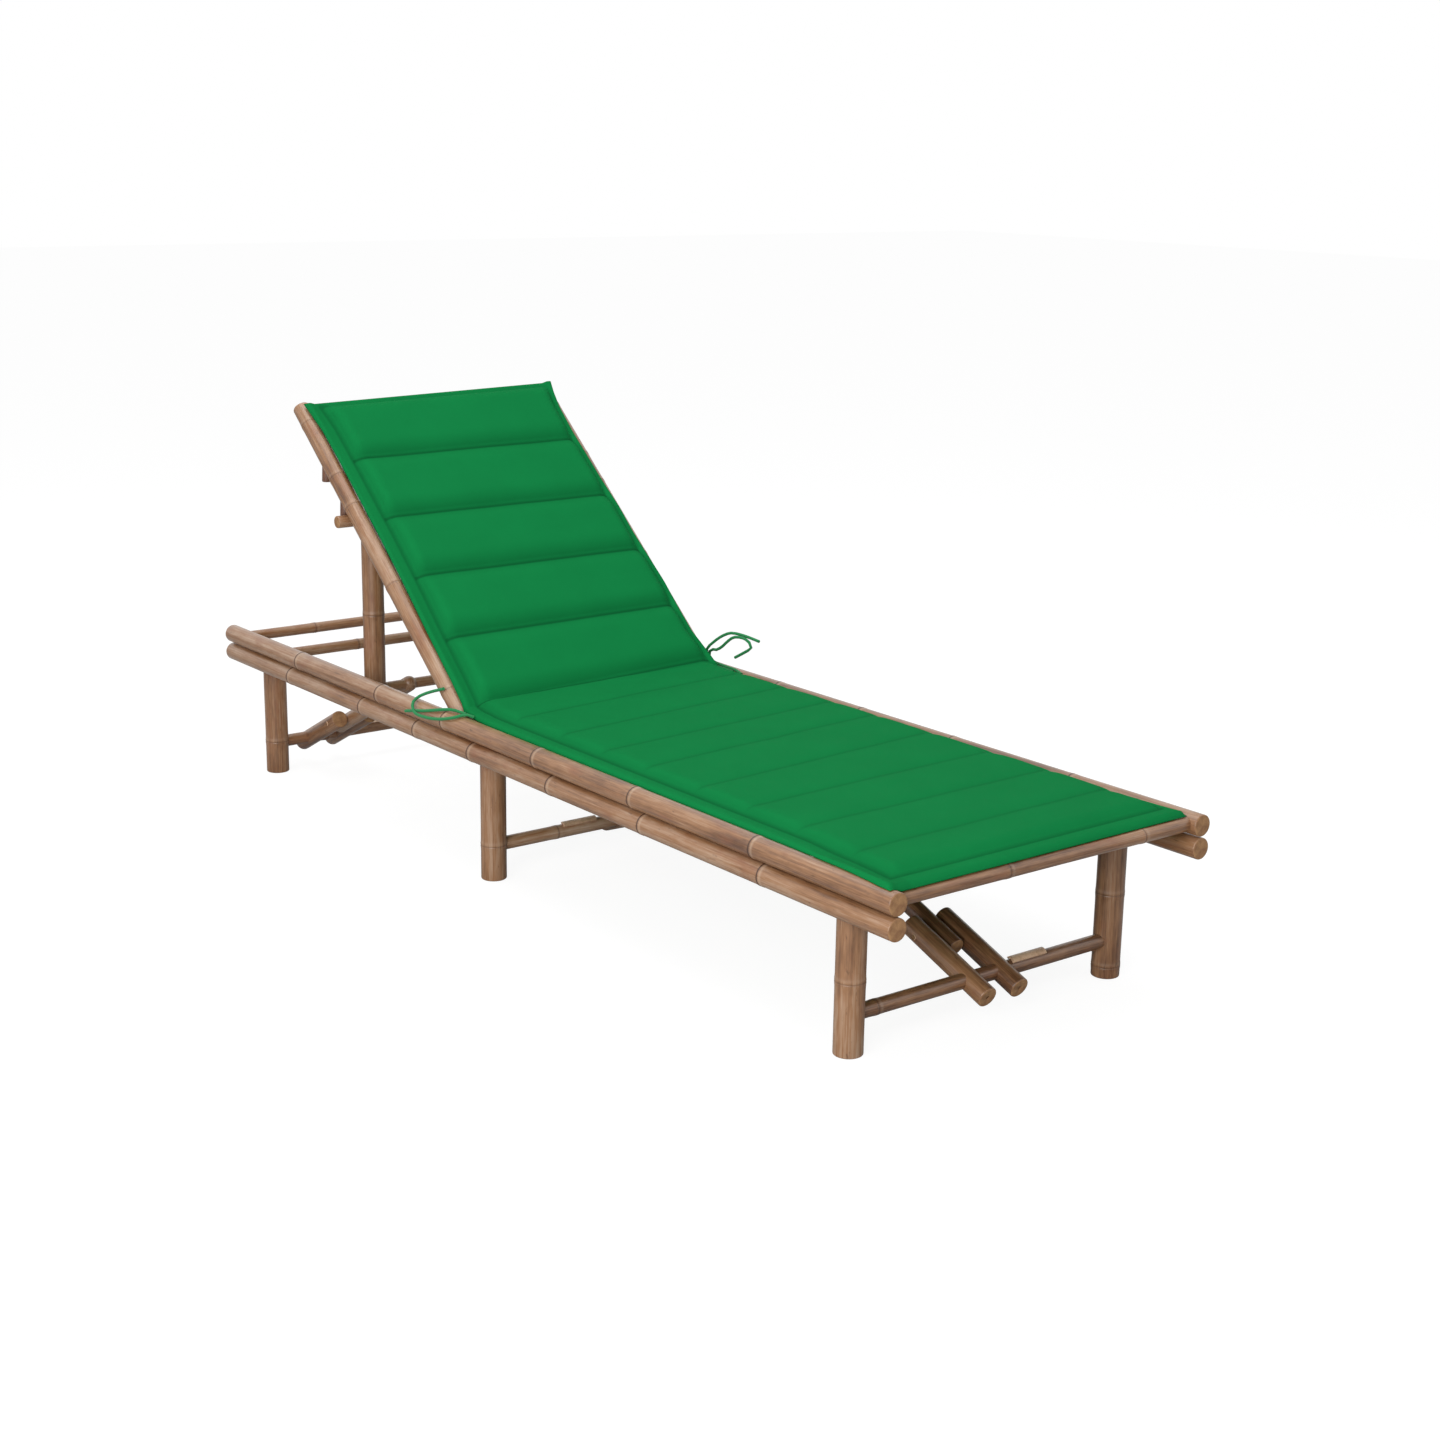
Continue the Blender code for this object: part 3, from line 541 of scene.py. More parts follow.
def lathe(name, profile, marks, material, cutMaterial, cutRings, tones):
    # profile is (height, radius) along local Z; cutRings are the bands that show cut bamboo
    sides, uneven = caneSetup["sides"], caneSetup["unevenness"]
    seed = Vector((tones[0] * 13.7, tones[0] * 5.1, 2.3))  # each pole is uneven in its own way
    length = profile[-1][0]
    points, values = [], []
    for (height, radius), (groove, ridge) in zip(profile, marks):
        for k in range(sides):
            angle = 2 * math.pi * k / sides
            way = Vector((math.cos(angle) * 0.6, math.sin(angle) * 0.6, height * 7)) + seed
            grown = radius
            if radius > 0.004:  # the middle of a cut end and thin pins stay round
                grown = radius * (1 - uneven * (0.5 + 0.5 * noise.noise(way)))
            points.append((grown * math.cos(angle), grown * math.sin(angle), height))
            values.append((groove, ridge, tones[0] + (tones[1] - tones[0]) * height / length))
    faces, slots = [], []
    for i in range(len(profile) - 1):
        for k in range(sides):
            n = (k + 1) % sides
            faces.append((i * sides + k, i * sides + n, (i + 1) * sides + n, (i + 1) * sides + k))
            slots.append(1 if i in cutRings else 0)
    mesh = bpy.data.meshes.new(name)
    mesh.from_pydata(points, [], faces)
    mesh.materials.append(material)
    mesh.materials.append(cutMaterial)
    mesh.polygons.foreach_set("material_index", slots)
    markPoints(mesh, "poleMarks", values)
    markPoints(mesh, "poleSeed", [tones[0]] * len(points))
    finishMesh(mesh, weld=True)
    return mesh


def girth(radius, height, rings, scar, lightSide):
    # radius, scar line and light band at a height: a swelling about each node with the scar in its middle
    s = caneSetup

    def hill(away, reach):
        return math.exp(-(away / reach) ** 2)

    grown = radius
    groove = ridge = 0
    for ring in rings:
        away = lightSide * (height - ring)
        grown += s["swell"] * hill(away, s["swellReach"]) - s["groove"] * hill(away, s["grooveReach"])
        groove = max(groove, scar * hill(away, s["darkReach"]))
        ridge = max(ridge, scar * hill(away - s["bandAway"], s["bandReach"]))
    return grown, groove, ridge


def canePole(name, body, start, end, radius, rings=(), ends=("cut", "cut"), replaces=None,
             material=bamboo, cut=cutBamboo, hole=0, scar=0.5, lightSide=1):
    # rings are the distances of the nodes from the start; scar is how strongly they are marked
    s = caneSetup
    start, end = Vector(start), Vector(end)
    length = (end - start).length
    low = capProfile(radius, ends[0], hole)
    high = capProfile(radius, ends[1])
    lowDepth, highDepth = low[-1][0], high[-1][0]
    plain = length - lowDepth - highDepth
    steps = max(2, round(plain / s["ringStep"]))
    heights = {lowDepth + plain * i / steps for i in range(1, steps)}
    heights = {height for height in heights if all(abs(height - ring) > s["nodeClear"] for ring in rings)}
    for ring in rings:
        heights.update(ring + lightSide * offset for offset in s["offsets"])
    first, last = lowDepth + s["endClear"], length - highDepth - s["endClear"]
    profile = list(low)
    marks = [(0, 0)] * len(low)
    for height in sorted(h for h in heights if first < h < last):
        grown, groove, ridge = girth(radius, height, rings, scar, lightSide)
        profile.append((height, grown))
        marks.append((groove, ridge))
    profile += [(length - depth, r) for depth, r in reversed(high)]
    marks += [(0, 0)] * len(high)
    cutRings = set()
    if ends[0] == "cut":
        cutRings.update(range(len(low) - 3))
    if ends[1] == "cut":
        cutRings.update(range(len(profile) - len(high) + 2, len(profile) - 1))
    piece = addObject(name, lathe(name, profile, marks, material, cut, cutRings, toneOf(name)))
    turn = Vector((0, 0, 1)).rotation_difference((end - start).normalized()).to_matrix().to_4x4()
    piece.matrix_world = Matrix.Translation(start) @ turn
    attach(piece, body)
    if replaces:
        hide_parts(replaces)
    return piece


bothSides = (("left", -1), ("right", 1))

frameSetup = {
    "railX": 0.307, "upperZ": 0.2725, "lowerZ": 0.2362, "railRadius": 0.018, "half": 1.0,
    "upperRings": {"left": (0.303, 0.603, 0.874, 1.161, 1.391, 1.700),
                   "right": (0.268, 0.543, 0.776, 1.004, 1.350, 1.660)},
    "lowerRings": {"left": (0.282, 0.576, 0.831, 1.074, 1.257, 1.454, 1.736),
                   "right": (0.310, 0.560, 0.840, 1.100, 1.300, 1.500, 1.760)},
    "crossReach": 0.299,
    "footPole": (-0.980, 0.0112, (0.212, 0.491)),  # y, radius and rings
    "slatRadius": 0.011, "firstSlat": -0.980, "lastSlat": 0.105, "slatCount": 8,
    "rungs": {"head_rung_inner": (0.775, (0.150, 0.430)), "head_rung_outer": (0.955, (0.150, 0.430))},
    "hingeY": 0.170, "hingeRadius": 0.010,
    "stayPoleY": -0.390, "stayPoleRings": (0.20, 0.47),
    "axleY": 0.560, "axleRings": (0.31,), "rodRadius": 0.010,
}


def buildFrame(s):
    for label, side in bothSides:
        for level, z in (("upper", s["upperZ"]), ("lower", s["lowerZ"])):
            name = f"{level}_rail_{label}"
            x = side * s["railX"]
            canePole(name + "_cane", "frame", (x, -s["half"], z), (x, s["half"], z),
                     s["railRadius"] - caneSetup["swell"], s[level + "Rings"][label],
                     replaces=name, scar=1.0, lightSide=-1)
    reach = s["crossReach"]

    def across(name, y, z, radius, rings=()):
        canePole(name + "_cane", "frame", (-reach, y, z), (reach, y, z), radius, rings, replaces=name)

    y, radius, rings = s["footPole"]
    across("foot_cross_pole", y, s["upperZ"], radius, rings)
    pitch = (s["lastSlat"] - s["firstSlat"]) / s["slatCount"]
    for i in range(s["slatCount"]):
        ring = 0.12 + 0.36 * ((i * 5) % 8) / 7  # each slat has its node elsewhere
        across(f"seat_slat_{i + 1}", s["firstSlat"] + pitch * (i + 1), s["upperZ"], s["slatRadius"], (ring,))
    for name, (y, rings) in s["rungs"].items():
        across(name, y, s["upperZ"], s["slatRadius"] - caneSetup["swell"], rings)
    across("hinge_rod", s["hingeY"], s["upperZ"], s["hingeRadius"])
    across("stay_cross_pole", s["stayPoleY"], s["lowerZ"], s["rodRadius"], s["stayPoleRings"])
    across("prop_axle", s["axleY"], s["lowerZ"], s["rodRadius"], s["axleRings"])


buildFrame(frameSetup)
print("rails and slats built")

legSetup = {
    "x": 0.2662, "radius": 0.0225, "pivotZ": 0.2362,
    "ys": {"foot": -0.862, "mid": 0.082, "head": 0.9025},
    "rings": {"foot_left": (0.112,), "foot_right": (0.018, 0.137),
              "mid_left": (0.062,), "mid_right": (0.057, 0.127),
              "head_left": (0.064,), "head_right": (0.057, 0.127)},
    "barZ": 0.060, "barRadius": 0.012, "barReach": 0.2577,
    "barRings": {"foot": (0.038,), "mid": (0.12, 0.41), "head": (0.10, 0.38)},
    "pinRadius": 0.0048, "pinInside": 0.012, "pinProud": 0.0012,
}


def buildLegs(s):
    for label, y in s["ys"].items():
        body = f"{label}_legs"
        for sideName, side in bothSides:
            name = f"{label}_leg_{sideName}"
            x = side * s["x"]
            canePole(name + "_cane", body, (x, y, 0), (x, y, s["pivotZ"] + s["radius"]), s["radius"],
                     s["rings"][f"{label}_{sideName}"], ("cut", "dome"), name, scar=0.3)
            inner = s["x"] - s["radius"]
            canePole(f"{name}_pin_end", "frame", (side * (inner + s["pinInside"]), y, s["pivotZ"]),
                     (side * (inner - s["pinProud"]), y, s["pivotZ"]), s["pinRadius"],
                     material=darkBamboo, cut=cutDark)
        canePole(f"{label}_crossbar_cane", body, (-s["barReach"], y, s["barZ"]),
                 (s["barReach"], y, s["barZ"]), s["barRadius"], s["barRings"][label],
                 replaces=f"{label}_crossbar")


buildLegs(legSetup)
print("legs built")

staySetup = {
    "forkRadius": 0.017, "braceRadius": 0.015, "play": 0.0008,
    "knuckle": 0.110, "forkReach": 0.143, "forkShort": 0.005, "tail": 0.045, "braceStop": 0.066,
    "pinRadius": 0.0045, "pinProud": 0.0015, "pith": 0.003,
    "x": {"foot": 0.0, "mid": 0.033, "head": -0.155},
    "anchorY": {"foot": -0.390, "mid": -0.390, "head": 0.560},
    "anchorZ": 0.2362,
}


def buildStays(s):
    offset = s["forkRadius"] + s["braceRadius"] + s["play"]
    for label, x in s["x"].items():
        low = Vector((x, legSetup["ys"][label], legSetup["barZ"]))
        high = Vector((x, s["anchorY"][label], s["anchorZ"]))
        way = (high - low).normalized()
        for letter, side in (("a", -1), ("b", 1)):
            name = f"{label}_fork_pole_{letter}"
            shift = Vector((side * offset, 0, 0))
            canePole(name + "_cane", f"{label}_fork", low + shift - way * s["tail"],
                     low + shift + way * (s["forkReach"] - s["forkShort"]), s["forkRadius"],
                     (), ("cut", "cut"), name, hole=s["pith"])
            knuckle = low + shift + way * s["knuckle"]
            outward = Vector((side, 0, 0)) * (s["forkRadius"] + s["pinProud"])
            canePole(f"{name}_dowel", f"{label}_fork", knuckle, knuckle + outward, s["pinRadius"],
                     material=paleBamboo)
        canePole(f"{label}_brace_cane", f"{label}_brace", low + way * s["braceStop"],
                 high + way * s["braceRadius"], s["braceRadius"], (), ("cut", "dome"), f"{label}_brace")


buildStays(staySetup)
print("stays built")

backSetup = {
    "pivot": (0, 0.170, 0.2725), "angle": math.radians(40),
    "poleX": 0.2714, "poleRadius": 0.0164, "poleLength": 0.745,
    "poleRings": (0.055, 0.300, 0.490, 0.564, 0.700),  # from the pivot
    "rungRadius": 0.010, "rungs": (0.100, 0.240, 0.380, 0.580, 0.710), "rungReach": 0.2648,
    "pegReaches": {"lower": 0.53618, "upper": 0.62364},
    "pegRadius": 0.0075, "pegEndRadius": 0.009, "pegLength": 0.050, "pegTop": 0.004,
    "pegTaper": 0.044,  # the length that gets thicker
}


def onBack(x, reach):
    s = backSetup
    along = Vector((0, math.cos(s["angle"]), math.sin(s["angle"])))
    return Vector(s["pivot"]) + along * reach + Vector((x, 0, 0))


def addPeg(s, place, label, root):
    piece = canePole(f"catch_peg_{place}_{label}_turned", "backrest", root - Vector((0, 0, s["pegTop"])),
                     root - Vector((0, 0, s["pegLength"])), s["pegEndRadius"], material=darkBamboo,
                     cut=cutDark, replaces=f"catch_peg_{place}_{label}")
    for vert in piece.data.vertices:  # slimmer at the root
        share = min(1, vert.co.z / s["pegTaper"])
        slim = s["pegRadius"] / s["pegEndRadius"] * (1 - share) + share
        vert.co.x *= slim
        vert.co.y *= slim


def buildBackrest(s):
    radius = s["poleRadius"]
    for label, side in bothSides:
        x = side * s["poleX"]
        rings = tuple(ring + radius for ring in s["poleRings"])
        canePole(f"back_pole_{label}_cane", "backrest", onBack(x, -radius), onBack(x, s["poleLength"]),
                 radius, rings, ("dome", "cut"), f"back_pole_{label}", scar=0.3)
        for place, reach in s["pegReaches"].items():
            addPeg(s, place, label, onBack(x, reach))
    for i, reach in enumerate(s["rungs"]):
        ring = 0.10 + 0.33 * ((i * 3) % 5) / 4
        canePole(f"back_rung_{i + 1}_cane", "backrest", onBack(-s["rungReach"], reach),
                 onBack(s["rungReach"], reach), s["rungRadius"], (ring,), replaces=f"back_rung_{i + 1}")


buildBackrest(backSetup)
print("backrest built")

propSetup = {
    "y": 0.560, "z": 0.2362, "strutX": 0.228, "strutRadius": 0.021, "tail": 0.033, "top": 0.58417,
    "rings": (0.178, 0.330),
    "barZ": 0.56217, "barRadius": 0.0115, "barHalf": 0.300, "barRings": (0.09, 0.42),
}


def buildProp(s):
    for label, side in bothSides:
        x = side * s["strutX"]
        canePole(f"prop_strut_{label}_cane", "support", (x, s["y"], s["z"] - s["tail"]),
                 (x, s["y"], s["top"]), s["strutRadius"] - caneSetup["swell"], s["rings"],
                 replaces=f"prop_strut_{label}", scar=0.35)
    canePole("prop_bar_cane", "support", (-s["barHalf"], s["y"], s["barZ"]),
             (s["barHalf"], s["y"], s["barZ"]), s["barRadius"], s["barRings"], replaces="prop_bar")


buildProp(propSetup)
print("prop built")

clipSetup = {
    "length": 0.070, "width": 0.022, "wall": 0.0035, "gap": 0.0006, "barRadius": 0.012,
    "askew": 0.004,  # its ends are cut a little askew
    "rows": 12, "bends": 10,
    "x": {"foot": 0.089, "mid": -0.087, "head": -0.052},
}


def clipMesh(s, name, tone):
    radius = s["barRadius"] + s["gap"]
    outer = radius + s["wall"]
    half = math.asin(min(0.95, s["width"] / 2 / outer))
    turns = [half * (2 * i / s["bends"] - 1) for i in range(s["bends"] + 1)]
    section = [(outer, turn) for turn in turns] + [(radius, -turn) for turn in turns]
    shape = bmesh.new()
    marks = shape.verts.layers.float_vector.new("poleMarks")
    seeds = shape.verts.layers.float.new("poleSeed")
    rows = []
    for k in range(s["rows"] + 1):
        x = -s["length"] / 2 + s["length"] * k / s["rows"]
        askew = s["askew"] if k in (0, s["rows"]) else 0
        row = []
        for r, a in section:
            vert = shape.verts.new((x + askew * math.sin(a * 1.3), r * math.sin(a), r * math.cos(a)))
            vert[marks] = (0, 0, tone)
            vert[seeds] = tone
            row.append(vert)
        rows.append(row)
    for a, b in zip(rows, rows[1:]):
        for i in range(len(section)):
            n = (i + 1) % len(section)
            shape.faces.new((a[i], a[n], b[n], b[i]))
    shape.faces.new(rows[0])
    shape.faces.new(list(reversed(rows[-1])))
    bmesh.ops.recalc_face_normals(shape, faces=shape.faces)
    mesh = bpy.data.meshes.new(name)
    shape.to_mesh(mesh)
    shape.free()
    mesh.materials.append(paleBamboo)
    return mesh


def buildClips(s):
    # a split strip of cane lying on each crossbar
    for label, middle in s["x"].items():
        name = f"{label}_clip_strip"
        piece = addObject(name, clipMesh(s, name, toneOf(label)[0]))
        piece.matrix_world = Matrix.Translation((middle, legSetup["ys"][label], legSetup["barZ"]))
        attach(piece, f"{label}_legs")
        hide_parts(f"{label}_clip")


buildClips(clipSetup)
print("clips laid")

# a way is a distance along the pad, counted from y = 0, and pairs are its left and its right edge
padSetup = {
    "underZ": 0.2849, "width": 0.58, "footY": (-0.988, -0.980),
    "bendY": 0.1577, "bendRadius": 0.025, "top": (0.735, 0.752),  # reach of the top edge
    "seams": ((-0.860, -0.845), (-0.730, -0.717), (-0.609, -0.587), (-0.490, -0.442), (-0.354, -0.302),
              (-0.237, -0.192), (-0.117, -0.061), (0.014, 0.067)),
    "foldY": (0.152, 0.176),
    "backSeams": ((0.150, 0.155), (0.295, 0.297), (0.437, 0.439), (0.582, 0.588)),  # reaches
    "border": {"left": 0.028, "right": 0.014, "foot": 0.033, "top": 0.013},
    # x of the edges at places along the pad
    "leftEdge": ((-1.05, -0.313), (-0.99, -0.313), (-0.965, -0.312), (-0.937, -0.309), (-0.88, -0.304),
                 (-0.83, -0.302), (-0.79, -0.2975), (-0.76, -0.295), (0.06, -0.2945), (0.12, -0.288),
                 (0.17, -0.2765), (0.22, -0.2739), (0.335, -0.2715), (0.452, -0.2671), (0.572, -0.2655),
                 (0.695, -0.2662), (0.76, -0.2668), (0.822, -0.2685), (0.89, -0.2780)),
    "rightEdge": ((-1.05, 0.2925), (-0.975, 0.2925), (-0.95, 0.289), (-0.90, 0.286), (-0.74, 0.290),
                  (-0.45, 0.291), (-0.20, 0.291), (0.00, 0.287), (0.12, 0.284), (0.18, 0.278),
                  (0.247, 0.2685), (0.31, 0.2695), (0.373, 0.2715), (0.50, 0.268), (0.567, 0.2698),
                  (0.6345, 0.267), (0.77, 0.266), (0.837, 0.2685), (0.875, 0.2745), (0.91, 0.2835)),
    "scallop": {"depth": 0.009, "reach": 0.016, "until": 0.10},  # each seat seam pulls the right edge in
    "plump": {"seat": 0.0190, "back": 0.0255},
    "channel": {"seat": 0.0142, "back": 0.0095},
    "seatToBack": (0.12, 0.07),  # where the thickness starts to change, and over what length
    "crown": {"left": 0.026, "right": 0.022, "end": 0.030},
    "quilt": 0.040,  # a seam is felt this far
    "lump": 0.0011, "lumpsPerMetre": (9, 14),  # across and along
    "pucker": 0.0009, "puckersPerMetre": (70, 9), "puckerReach": 0.018, "puckerStart": 0.010,
    "dip": 0.0022, "dipReach": 0.030,  # the underside rises at a seam
    "flat": 0.0075, "sewn": 0.8,  # the border, and the share of it that is left at its seam
    "borderSwell": 0.35, "borderRise": 0.012, "borderMost": 1.1, "edge": 0.00135, "edgeRound": 0.006,
    "step": 0.0085, "rimSteps": (0, 0.0025, 0.006, 0.012), "rimPitch": 0.0075,
    "backFrom": 0.145,
    # strength and reach of the painted shade: above and below a seam of the back, at one of the seat, at the
    # side
    "shade": {"above": (0.55, 0.045), "below": (0.35, 0.011), "seat": (0.14, 0.012), "side": (0.30, 0.012)},
    "sideShadeAt": 0.004,
    # strengths of the painted shadow lines along the cross seams and the edge seams
    "crossLine": {"back": 1.0, "seat": 0.30}, "crossLineFade": 0.030,
    "edgeLine": {"near": 0.60, "far": 0.12}, "nearEdge": 0.02,
    "gap": 0.0002, "poleSlope": 0.35,  # steeper than this, the edge lies on a back pole
}
noSeam = 9.0  # stands for a seam that is far away


def between(table, value):
    return float(np.interp(value, [row[0] for row in table], [row[1] for row in table]))


def bendOf(s):
    # the length that the bend takes off each straight stretch, and the length of its arc
    return s["bendRadius"] * math.tan(backSetup["angle"] / 2), s["bendRadius"] * backSetup["angle"]


def padPath(s, way):
    # underside of the pad at a way: y, z and slope
    tangent, arc = bendOf(s)
    bendStart = s["bendY"] - tangent
    if way <= bendStart:
        return way, s["underZ"], 0.0
    if way <= bendStart + arc:
        angle = (way - bendStart) / s["bendRadius"]
        rise = s["bendRadius"] * (1 - math.cos(angle))
        return bendStart + s["bendRadius"] * math.sin(angle), s["underZ"] + rise, angle
    rest = way - bendStart - arc + tangent
    angle = backSetup["angle"]
    return s["bendY"] + rest * math.cos(angle), s["underZ"] + rest * math.sin(angle), angle


def backWay(s, reaches):
    # the ways of two points at these reaches up the backrest poles
    tangent, arc = bendOf(s)
    return tuple(s["bendY"] - 2 * tangent + arc + reach for reach in reaches)


def swelling(distance, reach):
    share = min(1.0, max(0.0, distance / reach))
    return 1 - (1 - share) ** 2


def fading(amount, distance, power=1):
    strength, reach = amount
    return strength * max(0.0, 1 - distance / reach) ** power


def padRows(s):
    # stations along the pad: left way, right way, signed distance to the nearest cross seam,
    # and distance to the nearer end seam, which is negative in the end borders
    start, finish = s["footY"], backWay(s, s["top"])
    first = tuple(way + s["border"]["foot"] for way in start)
    last = tuple(way - s["border"]["top"] for way in finish)
    seams = [*s["seams"], s["foldY"], *[backWay(s, pair) for pair in s["backSeams"]]]
    marks = [start, first, *seams, last, finish]
    final = len(marks) - 2
    rows = []
    for k, (a, b) in enumerate(zip(marks, marks[1:])):
        length = (b[0] - a[0] + b[1] - a[1]) / 2
        count = max(3, round(length / s["step"]))
        for i in range(count):
            t = i / count
            left, right = a[0] + (b[0] - a[0]) * t, a[1] + (b[1] - a[1]) * t
            toSeam = noSeam
            if 0 < k < final:
                before = t * length if k > 1 else noSeam
                after = (1 - t) * length if k < final - 1 else noSeam
                toSeam = before if before <= after else -after
            toEnd = {0: -(1 - t) * length, final: -t * length}.get(k)
            if toEnd is None:
                fromFoot = (left - first[0] + right - first[1]) / 2
                fromTop = (last[0] - left + last[1] - right) / 2
                toEnd = min(fromFoot, fromTop)
            rows.append((left, right, toSeam, toEnd))
    rows.append((*finish, noSeam, -s["border"]["top"]))
    return rows


def padColumns(s):
    # shares of the width, closer together by the edges
    width, near, pitch = s["width"], s["rimSteps"][-1], s["rimPitch"]

    def edge(border):
        more = max(1, round((border - near) / pitch))
        places = [*s["rimSteps"], *[near + (border - near) * i / more for i in range(1, more)]]
        return [place / width for place in places]

    left, right = s["border"]["left"] / width, s["border"]["right"] / width
    count = round((1 - left - right) * width / s["step"])
    middle = [left + (1 - left - right) * i / count for i in range(count + 1)]
    return [*edge(s["border"]["left"]), *middle, *[1 - e for e in reversed(edge(s["border"]["right"]))]]


def restingLift(s, x, slope):
    # how far a rail or a back pole lifts the edge that lies on it
    axis, radius = frameSetup["railX"], frameSetup["railRadius"] - caneSetup["swell"]
    if slope > s["poleSlope"]:
        axis, radius = backSetup["poleX"], backSetup["poleRadius"]
    off = max(0.0, axis - abs(x))
    if off > radius:
        return 0.0
    return max(0.0, frameSetup["upperZ"] + math.sqrt(radius ** 2 - off ** 2) + s["gap"] - s["underZ"])


def quiltedThickness(s, x, way, toLeft, toRight, toEnd, toSeam):
    # a crown that rises from the border seams, sewn down in the channels, with soft lumps and puckers
    crown = swelling(toLeft, s["crown"]["left"]) * swelling(toRight, s["crown"]["right"])
    crown *= swelling(toEnd, s["crown"]["end"])
    quilt = swelling(abs(toSeam), s["quilt"])
    start, length = s["seatToBack"]
    onBackrest = min(1.0, max(0.0, (way - start) / length))
    plump, channel = (s[key]["seat"] * (1 - onBackrest) + s[key]["back"] * onBackrest
                      for key in ("plump", "channel"))
    low = s["flat"] * s["sewn"]
    thick = low + (plump - low) * crown * (channel / plump + (1 - channel / plump) * quilt)
    perX, perWay = s["lumpsPerMetre"]
    thick += s["lump"] * crown * noise.noise(Vector((x * perX, way * perWay, 3.0)))
    pucker = math.exp(-abs(toSeam) / s["puckerReach"]) * swelling(abs(toSeam), s["puckerStart"])
    perX, perWay = s["puckersPerMetre"]
    return thick + s["pucker"] * pucker * crown * noise.noise(Vector((x * perX, way * perWay, 8.0)))


def borderThickness(s, outside, toEdge):
    # flat, a little higher away from its seam, and rounded at the edge
    bulge = swelling(outside, s["borderRise"]) * s["borderSwell"] + s["sewn"]
    rounded = math.sqrt(max(0.0, 1 - (1 - min(1.0, max(0.0, toEdge) / s["edgeRound"])) ** 2))
    return s["edge"] + (s["flat"] * min(bulge, s["borderMost"]) - s["edge"]) * rounded


def paintedSeamShade(s, toSeam, toSide, way):
    # painted shade beside the seams: broad above those of the back, faint on the seat
    kind = "seat" if way <= s["backFrom"] else "above" if toSeam > 0 else "below"
    shade = fading(s["shade"][kind], abs(toSeam), 2 if kind == "above" else 1)
    return max(shade, fading(s["shade"]["side"], abs(toSide - s["sideShadeAt"])))


def padPoint(s, share, row):
    # one place of the pad: its upper and lower point and what the shader reads there
    left, right, toSeam, toEnd = row
    way = left + (right - left) * share
    y, z, slope = padPath(s, way)
    x = between(s["leftEdge"], way) * (1 - share) + between(s["rightEdge"], way) * share
    if way < s["scallop"]["until"]:
        x -= s["scallop"]["depth"] * math.exp(-abs(toSeam) / s["scallop"]["reach"]) * share ** 8
    fromLeft, fromRight = share * s["width"], (1 - share) * s["width"]
    toLeft, toRight = fromLeft - s["border"]["left"], fromRight - s["border"]["right"]
    inside = min(toLeft, toRight, toEnd)
    if inside >= 0:
        thick = quiltedThickness(s, x, way, toLeft, toRight, toEnd, toSeam)
        dip = s["dip"] * (1 - swelling(abs(toSeam), s["dipReach"]))
    else:
        toSeam = noSeam
        toEdge = min(fromLeft, fromRight, toEnd + s["border"]["top" if way > 0 else "foot"])
        thick = borderThickness(s, -inside, toEdge)
        dip = 0.0
    upward = Vector((0, -math.sin(slope), math.cos(slope)))
    base = Vector((x, y, z)) + upward * restingLift(s, x, slope)
    # how strongly the cloth shader paints shade along and beside the seams at this point
    crossLine = s["crossLine"]["back"]
    if way <= s["backFrom"]:
        crossLine = s["crossLine"]["seat"] * min(1.0, max(0.0, toLeft / s["crossLineFade"]))
    near = toLeft < s["nearEdge"] or (toEnd < s["nearEdge"] and way < 0)
    return {
        "top": base + upward * thick,
        "under": base + upward * min(dip, thick * 0.5),
        "clothWay": (x, way, 0),
        "seamWay": (abs(toSeam), inside, 0),
        "seamShow": (crossLine, s["edgeLine"]["near" if near else "far"], paintedSeamShade(s, toSeam, toLeft, way)),
    }


def padFaces(rows, columns):
    # the top, the underside and the rim between them; rows and columns are counts of points
    total = rows * columns
    faces = []
    for i in range(rows - 1):
        for k in range(columns - 1):
            a = i * columns + k
            faces.append((a, a + 1, a + columns + 1, a + columns))
            faces.append((a + total, a + columns + total, a + columns + 1 + total, a + 1 + total))
    rim = [*range(columns), *[i * columns + columns - 1 for i in range(1, rows)],
           *[(rows - 1) * columns + k for k in range(columns - 2, -1, -1)],
           *[i * columns for i in range(rows - 2, 0, -1)]]
    for a, b in zip(rim, [*rim[1:], rim[0]]):
        faces.append((b, a, a + total, b + total))
    return faces


def buildPad(s):
    rows, columns = padRows(s), padColumns(s)
    points = [padPoint(s, share, row) for row in rows for share in columns]
    mesh = bpy.data.meshes.new("quilted_pad")
    corners = [point[side] for side in ("top", "under") for point in points]
    mesh.from_pydata(corners, [], padFaces(len(rows), len(columns)))
    mesh.materials.append(cloth)
    for key in ("clothWay", "seamWay", "seamShow"):
        markPoints(mesh, key, [point[key] for point in points] * 2)
    finishMesh(mesh)
    piece = addObject("quilted_pad", mesh)
    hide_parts("seat_cushion", "back_cushion")
    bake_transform(piece)
    print("pad:", len(mesh.vertices), "points")


buildPad(padSetup)
print("pad built")

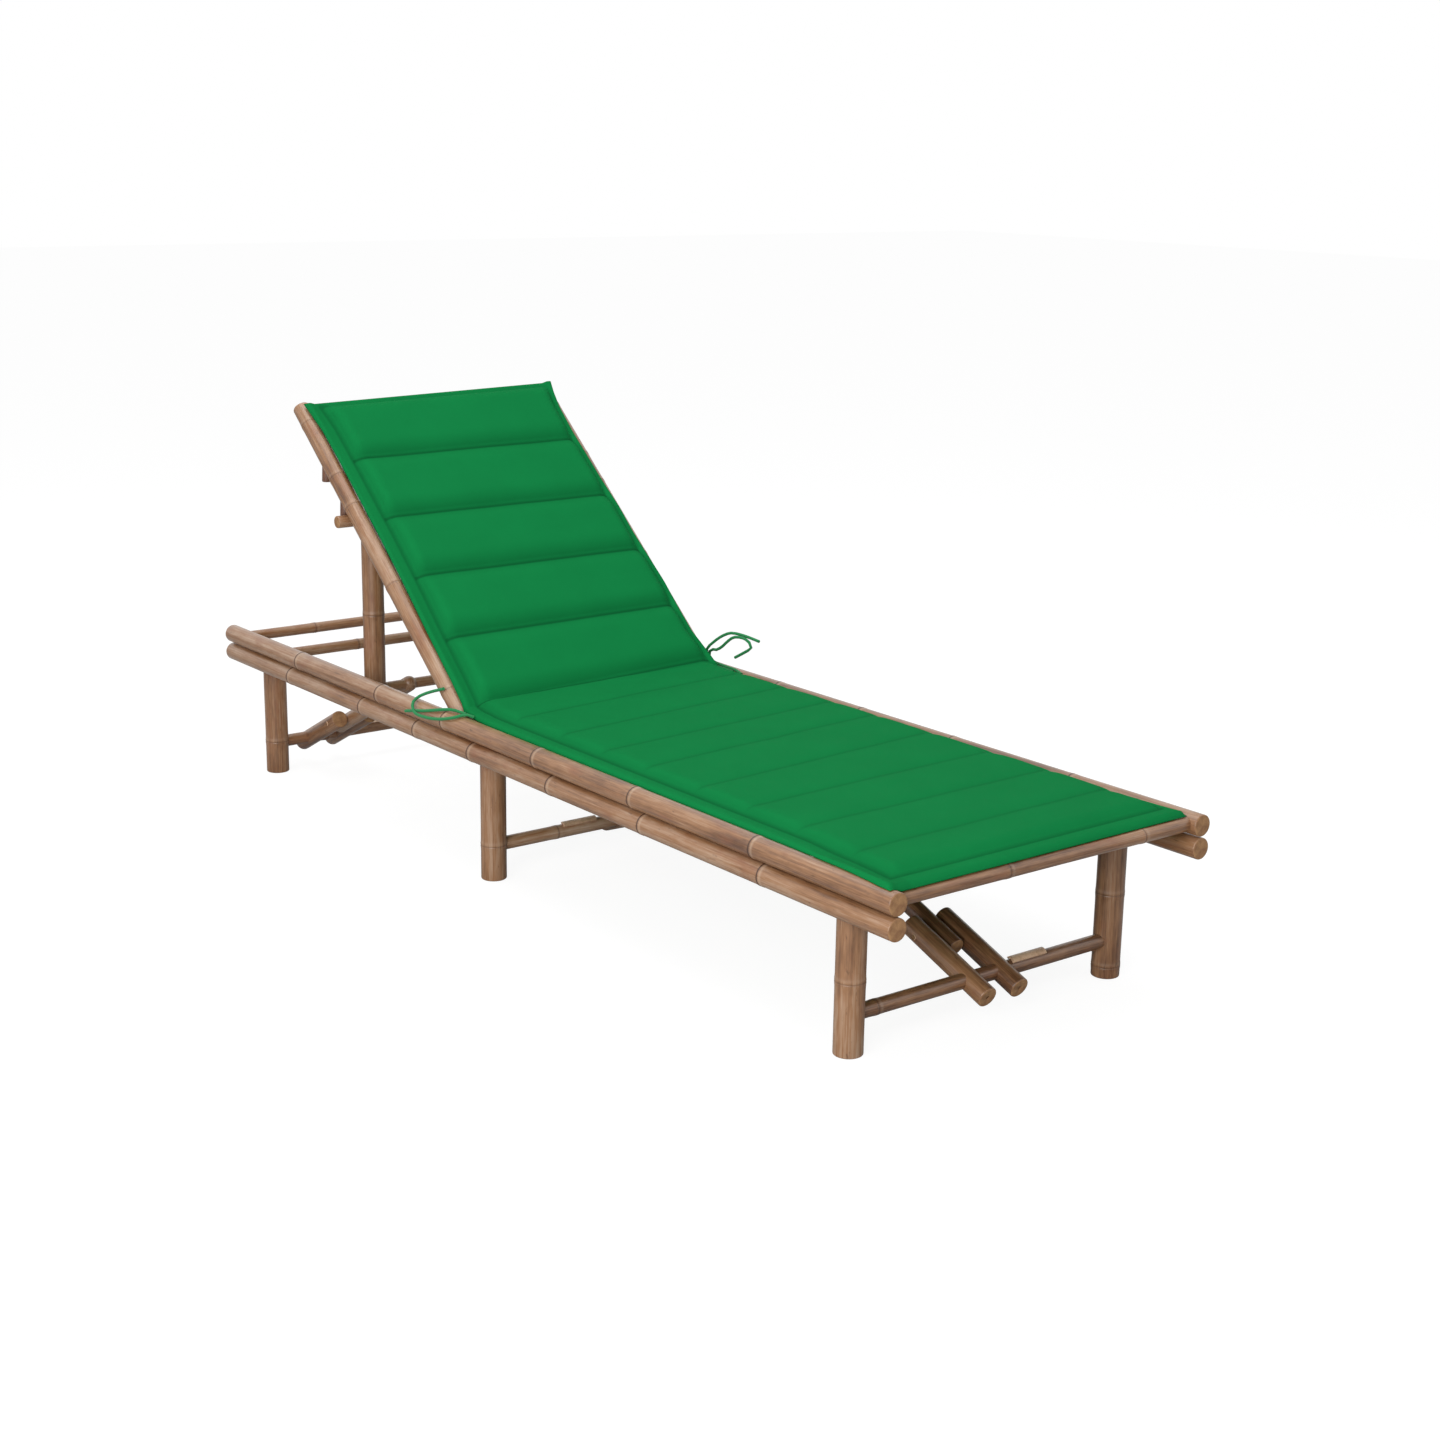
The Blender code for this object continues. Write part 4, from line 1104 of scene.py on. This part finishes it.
studioSetup = {
    "floor": (0.93, 0.93, 0.93),
    "floorBounce": (0.50, 0.50, 0.50),
    "floorGlow": 0.8,  # share of the glow in the floor that the camera sees
    "glow": (1.0, 1.0, 1.0),
    "glowStrength": 1.125,
    "sky": (1.0, 1.0, 1.0),
    "skyStrength": 0.44,
    "aim": (0, 0, 0.2),
    "lamps": {
        "topLight": {"place": (-0.4, 0.5, 3.6), "size": (3.0, 3.0), "power": 56},
        "keyLight": {"place": (-3.3, -2.2, 1.5), "size": (2.4, 2.4), "power": 104},
        "fillLight": {"place": (2.8, -2.6, 2.0), "size": (2.4, 2.0), "power": 8},
    },
}


def addFloor(s):
    # bright where the camera sees it, and dimmer as a light on the poles above it
    bpy.ops.mesh.primitive_grid_add(x_subdivisions=4, y_subdivisions=4, size=40)
    floor = bpy.context.object
    floor.name = "studio_floor"
    surface = Surface(bpy.data.materials.new("paleFloor"))
    surface.nodes.remove(surface.shader)
    seen = surface.node("ShaderNodeLightPath", out="Is Camera Ray")
    dim = surface.node("ShaderNodeBsdfDiffuse", {}, {"Color": s["floorBounce"]})
    diffuse = surface.node("ShaderNodeBsdfDiffuse", {}, {"Color": s["floor"]})
    glow = surface.node("ShaderNodeEmission", {}, {"Color": s["glow"], "Strength": s["glowStrength"]})
    bright = surface.node("ShaderNodeMixShader", {}, {0: s["floorGlow"], 1: diffuse, 2: glow})
    mixed = surface.node("ShaderNodeMixShader", {}, {0: seen, 1: dim, 2: bright})
    surface.feed(surface.nodes["Material Output"].inputs["Surface"], mixed)
    floor.data.materials.append(surface.owner)


def addWorld(s):
    # white where it is seen, softer as a light
    sky = Surface(bpy.data.worlds.new("softbox"))
    rays = sky.node("ShaderNodeLightPath").socket.node.outputs
    seen = (Socket(sky, rays["Is Camera Ray"]) + Socket(sky, rays["Is Glossy Ray"])).clamped()
    sky.wear({"Color": s["sky"], "Strength": seen * (1.0 - s["skyStrength"]) + s["skyStrength"]})
    bpy.context.scene.world = sky.owner


def addLamp(name, setup, aim):
    data = bpy.data.lights.new(name, "AREA")
    data.shape = "RECTANGLE"
    data.size, data.size_y = setup["size"]
    data.energy = setup["power"]
    lamp = addObject(name, data)
    turn = (Vector(aim) - Vector(setup["place"])).to_track_quat("-Z", "Y").to_matrix().to_4x4()
    lamp.matrix_world = Matrix.Translation(setup["place"]) @ turn


addFloor(studioSetup)
addWorld(studioSetup)
for lampName, lampSetup in studioSetup["lamps"].items():
    addLamp(lampName, lampSetup, studioSetup["aim"])
bpy.context.scene.view_settings.view_transform = "Standard"
print("studio lit")
